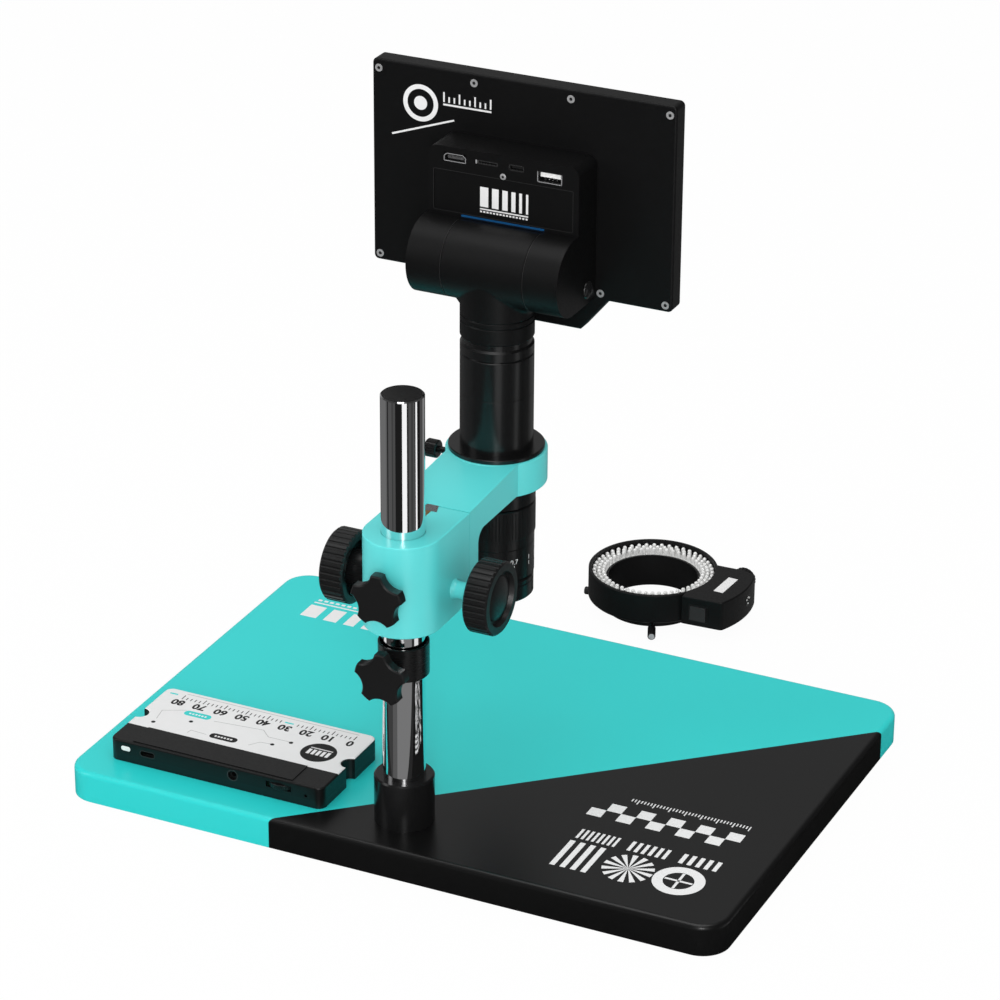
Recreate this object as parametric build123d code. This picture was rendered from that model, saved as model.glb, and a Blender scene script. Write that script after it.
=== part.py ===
from build123d import *
import math
import os

# A digital microscope on a column stand, with a tilting display on its camera
# head, a loose ring light standing beside the board and a small module box on it.
# Millimetres. +X is the viewer's right, +Y runs to the back, +Z is up.
# The origin is the middle of the board's underside.

# Board
board_width = 420.0
board_depth = 292.6
board_thickness = 19.2
board_corner = 17.0
board_edge_round = 3.0
foot_diameter = 24.0
foot_height = 3.0
foot_inset = 32.0

# Column and its socket
centre_x = 2.0
column_back = 110.3
column_diameter = 25.0
column_wall = 2.5
column_height = 268.4
column_bevel = 0.7
cap_plug_depth = 8.0
cap_rim = 1.2
cap_flange = 1.0
cap_shell = 1.5
cap_cover = 2.5
socket_diameter = 35.2
socket_height = 30.0
socket_spigot = 4.0
socket_bevel = 1.0
socket_screw_diameter = 3.0
socket_screw_count = 3
socket_screw_length = 22.0
socket_screw_head = 3.0
screw_head_ratio = 1.8

# Safety collar under the focus head
collar_wall = 2.3
collar_height = 20.6
collar_rise = 95.8
collar_relief_depth = 4.0
collar_relief_wall = 1.0
collar_relief_slope = 1.0
collar_low_bevel = 0.6
collar_top_bevel = 0.4

# Star knobs and their studs
star_radius = 16.0
star_valley = 12.0
star_lobes = 5
star_lobe_angle = 11.5
star_thickness = 7.0
star_edge = 0.8
star_hub_radius = 6.5
stud_diameter = 6.0
stud_in_knob = 9.0
stud_tip_bevel = 0.8
collar_star_hub = 4.9
collar_star_reach = 30.9
collar_star_rise = 8.5
clamp_star_hub = 3.4
clamp_star_reach = 34.7
clamp_star_rise = 27.5

# Focus block on the column
sleeve_wall = 0.8
sleeve_set_in = 3.0
block_half_width = 23.0
block_height = 56.6
block_rise = 127.8
block_front = 37.8
block_edge_round = 0.8
boss_radius = 5.0
boss_reach = 18.4
boss_root = 6.0
boss_flare = 0.4
boss_flare_start = 1.0
boss_flare_end = 2.5

# Rack and pinion
gear_module = 0.7
pinion_teeth = 10
pinion_forward = 18.3
pinion_rise = 17.4
pinion_face = 8.0
pressure_angle = 20.0
root_depth = 1.25
tooth_slack = 0.14
rack_addendum = 0.5
rack_face = 5.0
rack_tooth_set_in = 0.2
rack_end_margin = 2.0
shaft_diameter = 6.0
bush_wall = 1.5
bush_length = 8.0

# Focus knobs
knob_radius = 21.6
knob_thickness = 15.0
knob_span = 52.8
knob_ribs = 36
knob_rib_depth = 0.7
knob_rib_radius = 1.0
knob_dish_radius = 16.2
knob_dish_depth = 2.6
knob_recess_radius = 17.0
knob_recess_depth = 6.5
knob_hub_gap = 0.5
knob_hub_radius = 8.0
knob_edge = 1.2
tension_radius = 11.8
tension_overlap = 3.7
tension_bevel = 0.8
shaft_end_gap = 2.0

# Sliding arm and dovetail
joint_gap = 0.3
slide_thickness = 11.0
rail_narrow = 3.5
rail_wide = 6.0
rail_depth = 7.7
rail_seat = 2.5
rail_screw_diameter = 3.0
rail_screw_head = 3.0
rail_screw_inset = 9.0
rail_screw_grip = 2.0
ring_radius = 30.0
ring_height = 20.9
ring_lift = 3.3
arm_reach = 121.1
arm_under_lift = 1.0
arm_top_meets_ring = 0.8
arm_fillet = 8.0
ring_screw_shaft = 4.0
ring_screw_gap = 7.5
ring_screw_head_radius = 5.5
ring_screw_head_length = 7.8
ring_screw_ribs = 24
ring_screw_bevel = 0.7
ring_screw_rib_radius = 0.4
ring_screw_rib_offset = 0.15

# Lens, from the ring upward and downward
lens_spigot_radius = 25.0
flange_radius = 28.4
flange_height = 2.4
flange_bevel = 0.5
tube_radius = 21.6
tube_height = 65.1
tube_wall = 2.2
tube_groove_low = 33.7
tube_groove_high = 58.2
tube_groove_depth = 0.35
tube_bevel = 1.2
adapter_radius = 20.4
adapter_height = 3.4
adapter_plug = 5.0
adapter_plug_wall = 3.0
lens_collar_radius = 23.2
lens_collar_height = 11.6
zoom_gap = 1.0
zoom_radius = 23.3
zoom_height = 19.7
zoom_ribs = 72
zoom_rib_depth = 0.45
zoom_rib_offset = 0.1
zoom_rib_margin = 1.6
zoom_bevel = 0.6
scale_radius = 22.7
scale_height = 26.95
scale_groove_drop = 5.9
scale_groove_depth = 0.3
front_radius = 22.4
front_height = 13.05
front_groove_drop = 3.8
front_notch = 1.1
front_notch_slope = 0.6
front_lip = 1.5
front_bevel = 0.6
front_groove_depth = 0.4
guide_radius = 18.6
guide_bore = 16.4
guide_foot = 1.0
cell_height = 9.0
cell_bore = 13.0
cell_lip = 1.2
cell_ledge = 1.5
glass_thickness = 5.0
glass_crown = 1.6

# Camera head: neck, barrel and sensor
neck_radius = 21.7
neck_wall = 2.6
neck_groove_low = 10.2
neck_groove_high = 13.8
neck_groove_depth = 0.4
neck_groove_width = 1.2
neck_bevel = 0.8
barrel_radius = 22.9
barrel_rise = 42.2
barrel_half_length = 25.8
barrel_wall = 3.0
barrel_bevel = 0.5
neck_blend = 3.5
axle_radius = 4.0
axle_grip = 8.0
sensor_board_size = 26.0
sensor_board_thickness = 1.6
sensor_size = 12.0
sensor_thickness = 1.4
sensor_board_rise = 6.0
sensor_ledge = 2.0

# Display
display_width = 191.0
display_height = 124.6
display_thickness = 12.0
display_corner = 3.0
display_edge_round = 1.4
display_corner_keep = 0.8
display_back = 31.2
display_rise = 38.1
display_wall = 2.0
bezel_thickness = 3.0
bezel_border = 10.5
bezel_bevel = 0.6
glass_lap = 2.0
glass_sheet = 1.2
panel_thickness = 4.2
panel_lap = 3.0
chin_drop = 20.6
chin_half_width = 38.3
chin_top_half_width = 55.3
chin_overlap = 9.0
pod_half_width = 47.5
pod_rear = 6.2
pod_top_rise = 64.0
pod_corner = 6.0
pod_wall = 2.2
ear_gap = 0.35
label_half_width = 43.4
label_height = 24.0
label_low_rise = 25.3
label_recess = 0.8
label_thickness = 0.5
light_bar_height = 1.2
light_bar_depth = 1.6
port_rise = 57.9
hdmi_size = (14.0, 5.4)
card_size = (12.4, 2.2)
usb_c_size = (9.4, 3.6)
usb_a_size = (14.8, 7.2)
hdmi_offset = 30.3
card_offset = 9.6
usb_c_offset = -8.4
usb_a_offset = -29.2
usb_a_drop = 2.2
port_depth = 9.0
port_shell = 0.4
port_set_back = 0.2
port_back_wall = 1.0
port_tongue_reach = 0.75
port_tongue_share = 0.3
port_tongue_least = 0.4
port_tongue_lift = 0.4
port_tongue_back = 0.5
port_tongue_drop = 1.2
port_low_height = 3.0
port_tall_height = 6.0
board_sheet = 1.6
main_board_margin = 3.0
cover_screw_diameter = 2.6
cover_screw_head = 2.0
cover_screw_sunk = 1.6
cover_boss_radius = 2.8
cover_screw_length = 11.0
cover_screw_inset = 4.2
cover_screw_top_inset = 5.6
cover_screw_inner = 30.4
cover_screw_low = 50.7
cover_screw_drop = 0.2
cross_slot_reach = 1.3
cross_slot_half = 0.3
cross_slot_depth = 0.9
key_radius = 3.2
key_spacing = 15.0
key_proud = 0.8
key_stem = 2.6
key_bevel = 0.3
key_collar = 1.0
key_collar_thickness = 1.2
key_stem_length = 1.4

# Ring light standing beside the board
light_x = -3.8
light_y = -237.6
light_radius = 42.1
light_height = 27.5
light_foot_height = 7.6
light_foot_wall = 2.0
light_wall = 2.0
light_low_bevel = 0.8
light_top_bevel = 0.6
light_bore_radius = 29.0
light_bore_height = 21.4
light_ledge = 1.5
light_ledge_step = 1.5
led_board_rise = 19.4
led_board_thickness = 1.6
led_row_radii = (32.4, 35.4, 38.4)
leds_per_row = 48
led_radius = 1.3
led_height = 4.8
light_screw_angles = (112.7, 9.0, 240.0)
light_screw_rise = 3.8
light_screw_shaft = 3.0
light_screw_gaps = (9.5, 2.4, 9.5)
light_screw_head_radius = 2.6
light_screw_head_length = 12.4
light_screw_ribs = 18
light_screw_rib_radius = 0.3
light_screw_rib_offset = 0.1
light_screw_bevel = 0.5
control_floor = 7.8
control_inner_x = -33.0
control_back = ((-35.1, 29.9), (-60.1, 28.7))
control_front = ((-63.8, -19.2), (-52.8, -21.9), (-37.4, -21.4))
control_bulge = 4.6
control_corner = 3.0
control_edge = 1.0
rocker_width = 10.8
rocker_height = 9.8
rocker_offset = 44.2
rocker_rise = 16.8
rocker_proud = 1.2
rocker_depth = 5.0
rocker_gap = 0.7
rocker_cut = 4.0
dimmer_radius = 7.8
dimmer_proud = 7.0
dimmer_x = 52.7
dimmer_rise = 18.1
dimmer_shaft = 6.0
dimmer_ribs = 20
dimmer_bevel = 0.8
dimmer_rib_radius = 0.6
dimmer_rib_offset = 0.2
dimmer_shaft_length = 6.0
dimmer_bore_reach = 5.0
dimmer_bore_back = 2.0

# Module box lying on the board
module_length = 142.6
module_depth = 71.0
module_height = 13.8
module_left = 191.1
module_back = 124.0
module_corner = 5.0
module_edge_round = 1.2
module_wall = 1.8
module_split = 5.0
notch_radius = 5.5
notch_forward = 35.5
strip_depth = 21.5
strip_lift = 0.5
strip_from_left = 15.0
strip_length = 107.0
wheel_radius = 10.0
wheel_thickness = 3.2
wheel_proud = 1.5
wheel_from_left = 113.7
wheel_rise = 8.8
wheel_ribs = 36
wheel_bevel = 0.4
wheel_rib_radius = 0.4
wheel_rib_offset = 0.15
wheel_slot_share = 0.83
wheel_pin_gap = 1.0
module_pin_radius = 1.5
module_pillar = 3.4
module_pillar_radius = 3.0
module_pillar_inset = 12.0
module_board_gap = 1.0
module_notch_gap = 0.5
module_usb_from_left = 25.7
module_usb_rise = 8.4
module_usb_opening = (9.4, 3.4)
module_usb_shell = (8.8, 3.0)
module_usb_mouth = (8.0, 2.2)
module_usb_depth = 7.0
module_usb_bore = 6.0
module_jack_from_left = 83.2
module_jack_radius = 3.0
module_jack_rise = 8.6
module_jack_body = (7.0, 11.6)
module_jack_depth = 12.0
module_jack_bore = 11.0
module_jack_bore_radius = 1.75
module_hole_from_left = 131.7
module_hole_rise = 7.0
module_hole_radius = 1.0
module_window_from_left = 11.0
module_window_half_width = 2.0
module_window_rise = (8.0, 10.0)

# Fits
run_clearance = 0.05
seat_clearance = 0.1
part_clearance = 0.3

# Levels and centres worked out from the sizes above
board_top = board_thickness
column_radius = column_diameter / 2
column = (centre_x, column_back)
collar_bottom = board_top + collar_rise
block_bottom = board_top + block_rise
block_top = block_bottom + block_height
joint_y = column_back - block_front
slide_front = joint_y - joint_gap - slide_thickness
lens_y = column_back - arm_reach
lens = (centre_x, lens_y)
ring_top = block_top + ring_lift
ring_bottom = ring_top - ring_height
flange_top = ring_top + flange_height
tube_top = flange_top + tube_height
neck_bottom = tube_top + adapter_height
axis_z = neck_bottom + barrel_rise
lens_collar_bottom = ring_bottom - lens_collar_height
zoom_top = lens_collar_bottom - zoom_gap
zoom_bottom = zoom_top - zoom_height
scale_bottom = zoom_bottom - scale_height
front_top = scale_bottom - run_clearance * 4
front_bottom = front_top - front_height
pinion_y = column_back - pinion_forward
pinion_z = block_bottom + pinion_rise
pitch_radius = gear_module * pinion_teeth / 2
rack_pitch_y = pinion_y - pitch_radius
display_y = lens_y - display_back
display_mid_z = axis_z + display_rise
display_low_z = display_mid_z - display_height / 2
display_high_z = display_mid_z + display_height / 2
display_front_y = display_y - display_thickness
bezel_back_y = display_front_y + bezel_thickness
pod_rear_y = lens_y - pod_rear
pod_top_z = axis_z + pod_top_rise
ear_radius = barrel_radius
clearing_radius = barrel_radius + ear_gap
label_low_z = axis_z + label_low_rise
port_z = axis_z + port_rise
light_centre = (light_x, light_y)
module_right = module_left - module_length
module_front = module_back - module_depth


def block(x_range, y_range, z_range):
    """A box between two values on each axis."""
    centre = [(low + high) / 2 for low, high in (x_range, y_range, z_range)]
    size = [abs(high - low) for low, high in (x_range, y_range, z_range)]
    return Pos(*centre) * Box(*size)


def rod(radius, low, high, centre):
    """An upright cylinder between two heights."""
    return Pos(centre[0], centre[1], (low + high) / 2) * Cylinder(radius, high - low)


def rod_x(radius, low, high, y, z):
    """A cylinder along X."""
    return Pos((low + high) / 2, y, z) * Rot(0, 90, 0) * Cylinder(radius, high - low)


def rod_y(radius, low, high, x, z):
    """A cylinder along Y."""
    return Pos(x, (low + high) / 2, z) * Rot(90, 0, 0) * Cylinder(radius, high - low)


def turned(outline, centre):
    """A body turned about an upright axis from (radius, height) points."""
    face = Plane.XZ * make_face(Polyline(*outline, close=True))
    return Pos(centre[0], centre[1], 0) * revolve(face, Axis.Z)


def turned_x(outline, y, z):
    """A body turned about an axis along X from (radius, x) points."""
    face = Plane.XZ * make_face(Polyline(*[(x, r) for r, x in outline], close=True))
    return Pos(0, y, z) * revolve(face, Axis.X)


def upright_rounded(x_range, y_range, z_range, corner):
    """A box with its four upright edges rounded."""
    body = block(x_range, y_range, z_range)
    return fillet(body.edges().filter_by(Axis.Z), corner)


def around(count, radius, centre, start=0.0):
    """Points spread evenly on a circle, with their angles in degrees."""
    for index in range(count):
        angle = start + 360.0 * index / count
        turn = math.radians(angle)
        yield angle, centre[0] + radius * math.cos(turn), centre[1] + radius * math.sin(turn)


def group(solids):
    """Several separate solids kept in one node."""
    return Compound(children=list(solids))


# ---------------------------------------------------------------- stand

def socket_screw_circle():
    return (column_radius + socket_diameter / 2) / 2


def foot_places():
    reach_x = board_width / 2 - foot_inset
    reach_y = board_depth / 2 - foot_inset
    return [(x, y) for x in (-reach_x, reach_x) for y in (-reach_y, reach_y)]


def base_plate():
    """Cast board, with pockets for its feet, the socket and the socket screws."""
    half_w, half_d = board_width / 2, board_depth / 2
    body = upright_rounded((-half_w, half_w), (-half_d, half_d), (0, board_top), board_corner)
    body = fillet(body.faces().sort_by(Axis.Z)[-1].edges(), board_edge_round)
    for place in foot_places():
        body -= rod(foot_diameter / 2, 0, foot_height, place)
    body -= rod(socket_diameter / 2, board_top - socket_spigot, board_top, column)
    head = socket_screw_diameter / 2 * screw_head_ratio
    sunk = board_top + socket_height / 2 - socket_screw_length
    for _, x, y in around(socket_screw_count, socket_screw_circle(), column, 90):
        body -= rod(socket_screw_diameter / 2, 0, board_top, (x, y))
        body -= rod(head, 0, sunk, (x, y))
    return body


def base_feet():
    return group(rod(foot_diameter / 2, 0, foot_height, place) for place in foot_places())


def post_socket():
    """Turned socket let into the board, whose bore grips the column."""
    outer = socket_diameter / 2
    low = board_top - socket_spigot
    top = board_top + socket_height
    outline = [
        (column_radius, low), (outer, low), (outer, top - socket_bevel), (outer - socket_bevel, top),
        (column_radius, top),
    ]
    body = turned(outline, column)
    for _, x, y in around(socket_screw_count, socket_screw_circle(), column, 90):
        body -= rod(socket_screw_diameter / 2, low, board_top + socket_height / 2, (x, y))
    return body


def socket_screws():
    """Cap screws that pull the socket down from under the board."""
    radius = socket_screw_diameter / 2
    top = board_top + socket_height / 2
    seat = top - socket_screw_length
    solids = []
    for _, x, y in around(socket_screw_count, socket_screw_circle(), column, 90):
        shank = rod(radius, seat, top, (x, y))
        head = rod(radius * screw_head_ratio, seat - socket_screw_head, seat, (x, y))
        solids.append(shank + head)
    return group(solids)


def post_tube():
    inner = column_radius - column_wall
    top = board_top + column_height
    low = board_top - socket_spigot
    lip = column_radius - cap_rim
    outline = [
        (inner, low), (column_radius, low), (column_radius, top - column_bevel),
        (column_radius - column_bevel, top), (lip, top), (lip, top - cap_flange), (inner, top - cap_flange),
    ]
    return turned(outline, column)


def post_cap():
    """Plug pressed flush into the top of the column."""
    inner = column_radius - column_wall
    top = board_top + column_height
    lip = column_radius - cap_rim
    body = rod(lip, top - cap_flange, top, column)
    body += rod(inner, top - cap_plug_depth, top - cap_flange, column)
    return body - rod(inner - cap_shell, top - cap_plug_depth, top - cap_cover, column)


# ---------------------------------------------------------------- clamps

def star_knob(front_y, z, hub_length):
    """Five-lobed knob that faces the back, with its hub towards the column."""
    body = Cylinder(star_radius, star_thickness)
    step = 360.0 / star_lobes
    open_angle = math.radians(step / 2 - star_lobe_angle)
    edge_x = star_radius * math.cos(open_angle)
    edge_y = star_radius * math.sin(open_angle)
    gap = edge_x - star_valley
    cut_radius = (gap * gap + edge_y * edge_y) / (2 * gap)
    for _, x, y in around(star_lobes, star_valley + cut_radius, (0, 0), 90 + step / 2):
        body -= Pos(x, y, 0) * Cylinder(cut_radius, star_thickness)
    rim = body.faces().sort_by(Axis.Z)
    body = chamfer(rim[-1].edges() + rim[0].edges(), star_edge)
    body = Rot(90, 0, 0) * body
    body = Pos(centre_x, front_y - star_thickness / 2, z) * body
    back = front_y - star_thickness
    body += rod_y(star_hub_radius, back - hub_length, back, centre_x, z)
    return body - rod_y(stud_diameter / 2, back - hub_length, back - hub_length + stud_in_knob, centre_x, z)


def star_stud(front_y, z, hub_length, tip_y):
    """Steel stud that runs from inside the knob to the column."""
    back = front_y - star_thickness - hub_length
    body = rod_y(stud_diameter / 2, tip_y, back + stud_in_knob, centre_x, z)
    return chamfer(body.faces().sort_by(Axis.Y)[0].edges(), stud_tip_bevel)


def collar_star_place():
    return column_back + collar_star_reach, collar_bottom + collar_star_rise


def clamp_star_place():
    return column_back + clamp_star_reach, block_bottom + clamp_star_rise


def safety_collar():
    """Stop ring on the column, relieved at its top, tapped for the stud."""
    bore = column_radius + run_clearance
    outer = column_radius + collar_wall
    top = collar_bottom + collar_height
    relief = outer - collar_relief_wall
    outline = [
        (bore, collar_bottom), (outer - collar_low_bevel, collar_bottom),
        (outer, collar_bottom + collar_low_bevel), (outer, top - collar_top_bevel),
        (outer - collar_top_bevel, top), (relief, top), (relief, top - collar_relief_depth),
        (bore, top - collar_relief_depth - collar_relief_slope),
    ]
    _, z = collar_star_place()
    cut = rod_y(stud_diameter / 2 + run_clearance, column_back, column_back + outer + 1, centre_x, z)
    return turned(outline, column) - cut


def collar_star_knob():
    front, z = collar_star_place()
    return star_knob(front, z, collar_star_hub)


def collar_stud():
    front, z = collar_star_place()
    return star_stud(front, z, collar_star_hub, column_back + column_radius + run_clearance)


def clamp_star_knob():
    front, z = clamp_star_place()
    return star_knob(front, z, clamp_star_hub)


def clamp_stud():
    front, z = clamp_star_place()
    tip = column_back + column_radius + sleeve_wall + 2 * run_clearance
    return star_stud(front, z, clamp_star_hub, tip)


# ---------------------------------------------------------------- focus head

def column_sleeve():
    """Thin bearing sleeve between the column and the focus block."""
    bore = column_radius + run_clearance
    outer = bore + sleeve_wall
    low, high = block_bottom + sleeve_set_in, block_top - sleeve_set_in
    return rod(outer, low, high, column) - rod(bore, low, high, column)


def block_bore():
    return column_radius + sleeve_wall + 2 * run_clearance


def rail_outline(start, grow=0.0):
    """Plan of the dovetail: narrow at the joint and in the slide, wide at the back."""
    narrow, wide = rail_narrow + grow, rail_wide + grow
    back = joint_y + rail_depth + grow
    return [
        (centre_x - narrow, start), (centre_x + narrow, start), (centre_x + narrow, joint_y),
        (centre_x + wide, back), (centre_x - wide, back), (centre_x - narrow, joint_y),
    ]


def upright_prism(outline, low, high):
    """A flat outline of (x, y) points raised between two heights."""
    return Pos(0, 0, low) * extrude(make_face(Polyline(*outline, close=True)), high - low)


def bush_radius():
    return shaft_diameter / 2 + bush_wall


def focus_block():
    """Casting that slides on the column, guides the dovetail and carries the pinion."""
    left, right = centre_x - block_half_width, centre_x + block_half_width
    body = rod(block_half_width, block_bottom, block_top, column)
    body += block((left, right), (joint_y, column_back), (block_bottom, block_top))
    ends = body.faces().sort_by(Axis.Z)
    body = fillet(ends[-1].edges() + ends[0].edges(), block_edge_round)
    boss = [
        (0, left + 1), (boss_root, left + 1), (boss_root, left),
        (boss_radius + boss_flare, left - boss_flare_start), (boss_radius, left - boss_flare_end),
        (boss_radius, left - boss_reach), (0, left - boss_reach),
    ]
    body += turned_x(boss, pinion_y, pinion_z)
    low, high = block_bottom - 1, block_top + 1
    body -= rod(block_bore(), low, high, column)
    body -= upright_prism(rail_outline(joint_y - 1, seat_clearance), low, high)
    half = rack_face / 2 + seat_clearance
    tip = rack_pitch_y + rack_addendum + seat_clearance
    body -= block((centre_x - half, centre_x + half), (joint_y, tip), (low, high))
    body -= rod_x(bush_radius(), left + bush_wall, right, pinion_y, pinion_z)
    body -= rod_x(shaft_diameter / 2 + part_clearance, left - boss_reach, right, pinion_y, pinion_z)
    _, z = clamp_star_place()
    stud_hole = stud_diameter / 2 + run_clearance
    body -= rod_y(stud_hole, column_back, column_back + block_half_width + 1, centre_x, z)
    return body


def pinion_bushes():
    """Two bronze bushes that the pinion shaft turns in."""
    bore = shaft_diameter / 2 + run_clearance
    left = centre_x - block_half_width + bush_wall
    right = centre_x + block_half_width - bush_length
    solids = []
    for low in (left, right):
        high = low + bush_length
        bush = rod_x(bush_radius(), low, high, pinion_y, pinion_z)
        solids.append(bush - rod_x(bore, low, high, pinion_y, pinion_z))
    return group(solids)


def involute(base, radius):
    """Angle by which an involute has run on from its base circle at a radius."""
    opening = math.acos(min(base / radius, 1.0))
    return math.tan(opening) - opening


def pinion_section():
    """Toothed outline in its own plane, with one tooth on the -X side."""
    root = pitch_radius - root_depth * gear_module
    tip = pitch_radius + gear_module
    base = pitch_radius * math.cos(math.radians(pressure_angle))
    half = (math.pi * gear_module / 2 - tooth_slack) / 2 / pitch_radius
    flank = [base, (base + pitch_radius) / 2, pitch_radius, (pitch_radius + tip) / 2, tip]
    turn_on = involute(base, pitch_radius)
    rising = [(radius, half + turn_on - involute(base, radius)) for radius in flank]
    rising = [(root, rising[0][1])] + rising
    section = Circle(root)
    for index in range(pinion_teeth):
        middle = math.pi + 2 * math.pi * index / pinion_teeth
        side = [(r * math.cos(middle - a), r * math.sin(middle - a)) for r, a in rising]
        other = [(r * math.cos(middle + a), r * math.sin(middle + a)) for r, a in reversed(rising)]
        section += make_face(Polyline((0, 0), *side, *other, close=True))
    return section


def shaft_half_length():
    return knob_span - knob_dish_depth - shaft_end_gap


def pinion_shaft():
    """Steel shaft with the pinion cut in its middle."""
    half = pinion_face / 2
    end = shaft_half_length()
    gear = extrude(pinion_section(), half, both=True)
    body = Pos(centre_x, pinion_y, pinion_z) * Rot(0, 0, 90) * Rot(90, 0, 0) * gear
    for side in (-1, 1):
        near, far = centre_x + side * half, centre_x + side * end
        body += rod_x(shaft_diameter / 2, min(near, far), max(near, far), pinion_y, pinion_z)
    return body


def focus_knob(side):
    """Ribbed knob, dished outside and hollow inside, fixed on the shaft's end."""
    outer = knob_span
    inner = knob_span - knob_thickness
    floor = inner + knob_recess_depth
    hub = inner + tension_overlap + knob_hub_gap
    dish = outer - knob_dish_depth
    bore = shaft_diameter / 2
    outline = [
        (bore, hub), (knob_hub_radius, hub), (knob_hub_radius, floor), (knob_recess_radius, floor),
        (knob_recess_radius, inner), (knob_radius - knob_edge, inner), (knob_radius, inner + knob_edge),
        (knob_radius, outer - knob_edge), (knob_radius - knob_edge, outer),
        (knob_dish_radius, outer), (knob_dish_radius - knob_edge, dish), (0, dish),
        (0, shaft_half_length()), (bore, shaft_half_length()),
    ]
    body = turned_x([(r, centre_x + side * x) for r, x in outline], pinion_y, pinion_z)
    grooves = []
    low, high = sorted((centre_x + side * inner, centre_x + side * outer))
    reach = knob_radius + knob_rib_radius - knob_rib_depth
    for _, y, z in around(knob_ribs, reach, (pinion_y, pinion_z)):
        grooves.append(rod_x(knob_rib_radius, low, high, y, z))
    return body - grooves


def tension_collar():
    """Loose collar on the left of the block that sets the drag of the focus."""
    start = centre_x + block_half_width + part_clearance
    end = centre_x + knob_span - knob_thickness + tension_overlap
    bore = shaft_diameter / 2 + part_clearance
    shoulder = tension_radius - tension_bevel
    outline = [
        (bore, start), (shoulder, start), (tension_radius, start + tension_bevel),
        (tension_radius, end - tension_bevel), (shoulder, end), (bore, end),
    ]
    return turned_x(outline, pinion_y, pinion_z)


# ---------------------------------------------------------------- arm

def rail_screw_heights():
    middle = (block_bottom + block_top) / 2
    reach = (block_top - block_bottom) / 2 - rail_screw_inset
    return (middle - reach, middle, middle + reach)


def rack_back():
    return joint_y + rail_depth


def rail_screw_tip():
    return rack_back() + rail_screw_grip


def rail_screw_cuts():
    radius = rail_screw_diameter / 2
    head_back = slide_front + rail_screw_head
    cuts = []
    for z in rail_screw_heights():
        cuts.append(rod_y(radius, slide_front, rail_screw_tip(), centre_x, z))
        cuts.append(rod_y(radius * screw_head_ratio, slide_front, head_back, centre_x, z))
    return cuts


def slide_back():
    return joint_y - joint_gap


def rail_start():
    return slide_front + rail_seat


def focus_arm():
    """Slide block, arm and lens ring in one casting."""
    left, right = centre_x - block_half_width, centre_x + block_half_width
    under = ring_bottom + arm_under_lift
    side = [
        (slide_back(), block_bottom), (slide_back(), block_top),
        (lens_y + ring_radius * arm_top_meets_ring, ring_top),
        (lens_y, ring_top), (lens_y, under), (slide_front, under), (slide_front, block_bottom),
    ]
    profile = Plane.YZ * make_face(Polyline(*side, close=True))
    body = Pos(left, 0, 0) * extrude(profile, right - left)
    inner_corner = body.edges().filter_by(Axis.X).sort_by_distance((centre_x, slide_front, under))[0]
    body = fillet(inner_corner, arm_fillet)
    ring = rod(ring_radius, ring_bottom, ring_top, lens)
    ring = fillet(ring.edges().filter_by(GeomType.CIRCLE), block_edge_round)
    body += ring
    body -= rod(lens_spigot_radius + seat_clearance, ring_bottom - 1, ring_top + 1, lens)
    body -= upright_prism(rail_outline(rail_start()), block_bottom, block_top)
    for cut in rail_screw_cuts():
        body -= cut
    hole = ring_screw_shaft / 2 + run_clearance
    return body - rod_x(hole, centre_x, centre_x + ring_radius + 1, lens_y, ring_screw_z())


def dovetail_rail():
    """Steel rail seated in the slide and running in the block."""
    body = upright_prism(rail_outline(rail_start()), block_bottom, block_top)
    return body - rail_screw_cuts()


def rack():
    """Straight rack behind the rail, with a space level with the pinion's axis."""
    root = rack_pitch_y - root_depth * gear_module
    tip = rack_pitch_y + rack_addendum
    half = rack_face / 2
    body = block((centre_x - half, centre_x + half), (rack_back(), root), (block_bottom, block_top))
    pitch = math.pi * gear_module
    lean = math.tan(math.radians(pressure_angle))
    thick = (pitch - tooth_slack * 2) / 4
    foot = thick + (rack_pitch_y - root) * lean
    crest = thick - (tip - rack_pitch_y) * lean
    teeth = []
    below = int((pinion_z - block_bottom - rack_end_margin) / pitch)
    above = int((block_top - rack_end_margin - pinion_z) / pitch)
    for index in range(-below, above):
        middle = pinion_z + (index + 0.5) * pitch
        bed = root - rack_tooth_set_in
        outline = [
            (bed, middle - foot), (root, middle - foot), (tip, middle - crest),
            (tip, middle + crest), (root, middle + foot), (bed, middle + foot),
        ]
        face = Plane.YZ * make_face(Polyline(*outline, close=True))
        teeth.append(Pos(centre_x - half, 0, 0) * extrude(face, rack_face))
    body = body + teeth
    return body - rail_screw_cuts()


def rail_screws():
    """Three screws through slide and rail into the rack."""
    radius = rail_screw_diameter / 2
    solids = []
    for z in rail_screw_heights():
        shank = rod_y(radius, slide_front, rail_screw_tip(), centre_x, z)
        head = rod_y(radius * screw_head_ratio, slide_front, slide_front + rail_screw_head, centre_x, z)
        solids.append(shank + head)
    return group(solids)


def ring_screw_z():
    return (ring_bottom + ring_top) / 2


def ring_thumb_screw():
    """Knurled screw that holds the lens in the ring."""
    z = ring_screw_z()
    tip = centre_x + lens_spigot_radius + run_clearance
    head = centre_x + ring_radius + ring_screw_gap
    radius, bevel = ring_screw_head_radius, ring_screw_bevel
    end = head + ring_screw_head_length
    outline = [
        (0, tip), (ring_screw_shaft / 2, tip), (ring_screw_shaft / 2, head), (radius - bevel, head),
        (radius, head + bevel), (radius, end - bevel), (radius - bevel, end), (0, end),
    ]
    body = turned_x(outline, lens_y, z)
    grooves = []
    for _, y, place_z in around(ring_screw_ribs, radius + ring_screw_rib_offset, (lens_y, z)):
        grooves.append(rod_x(ring_screw_rib_radius, head, end, y, place_z))
    return body - grooves


# ---------------------------------------------------------------- lens

def guide_bottom():
    return front_bottom + guide_foot


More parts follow.
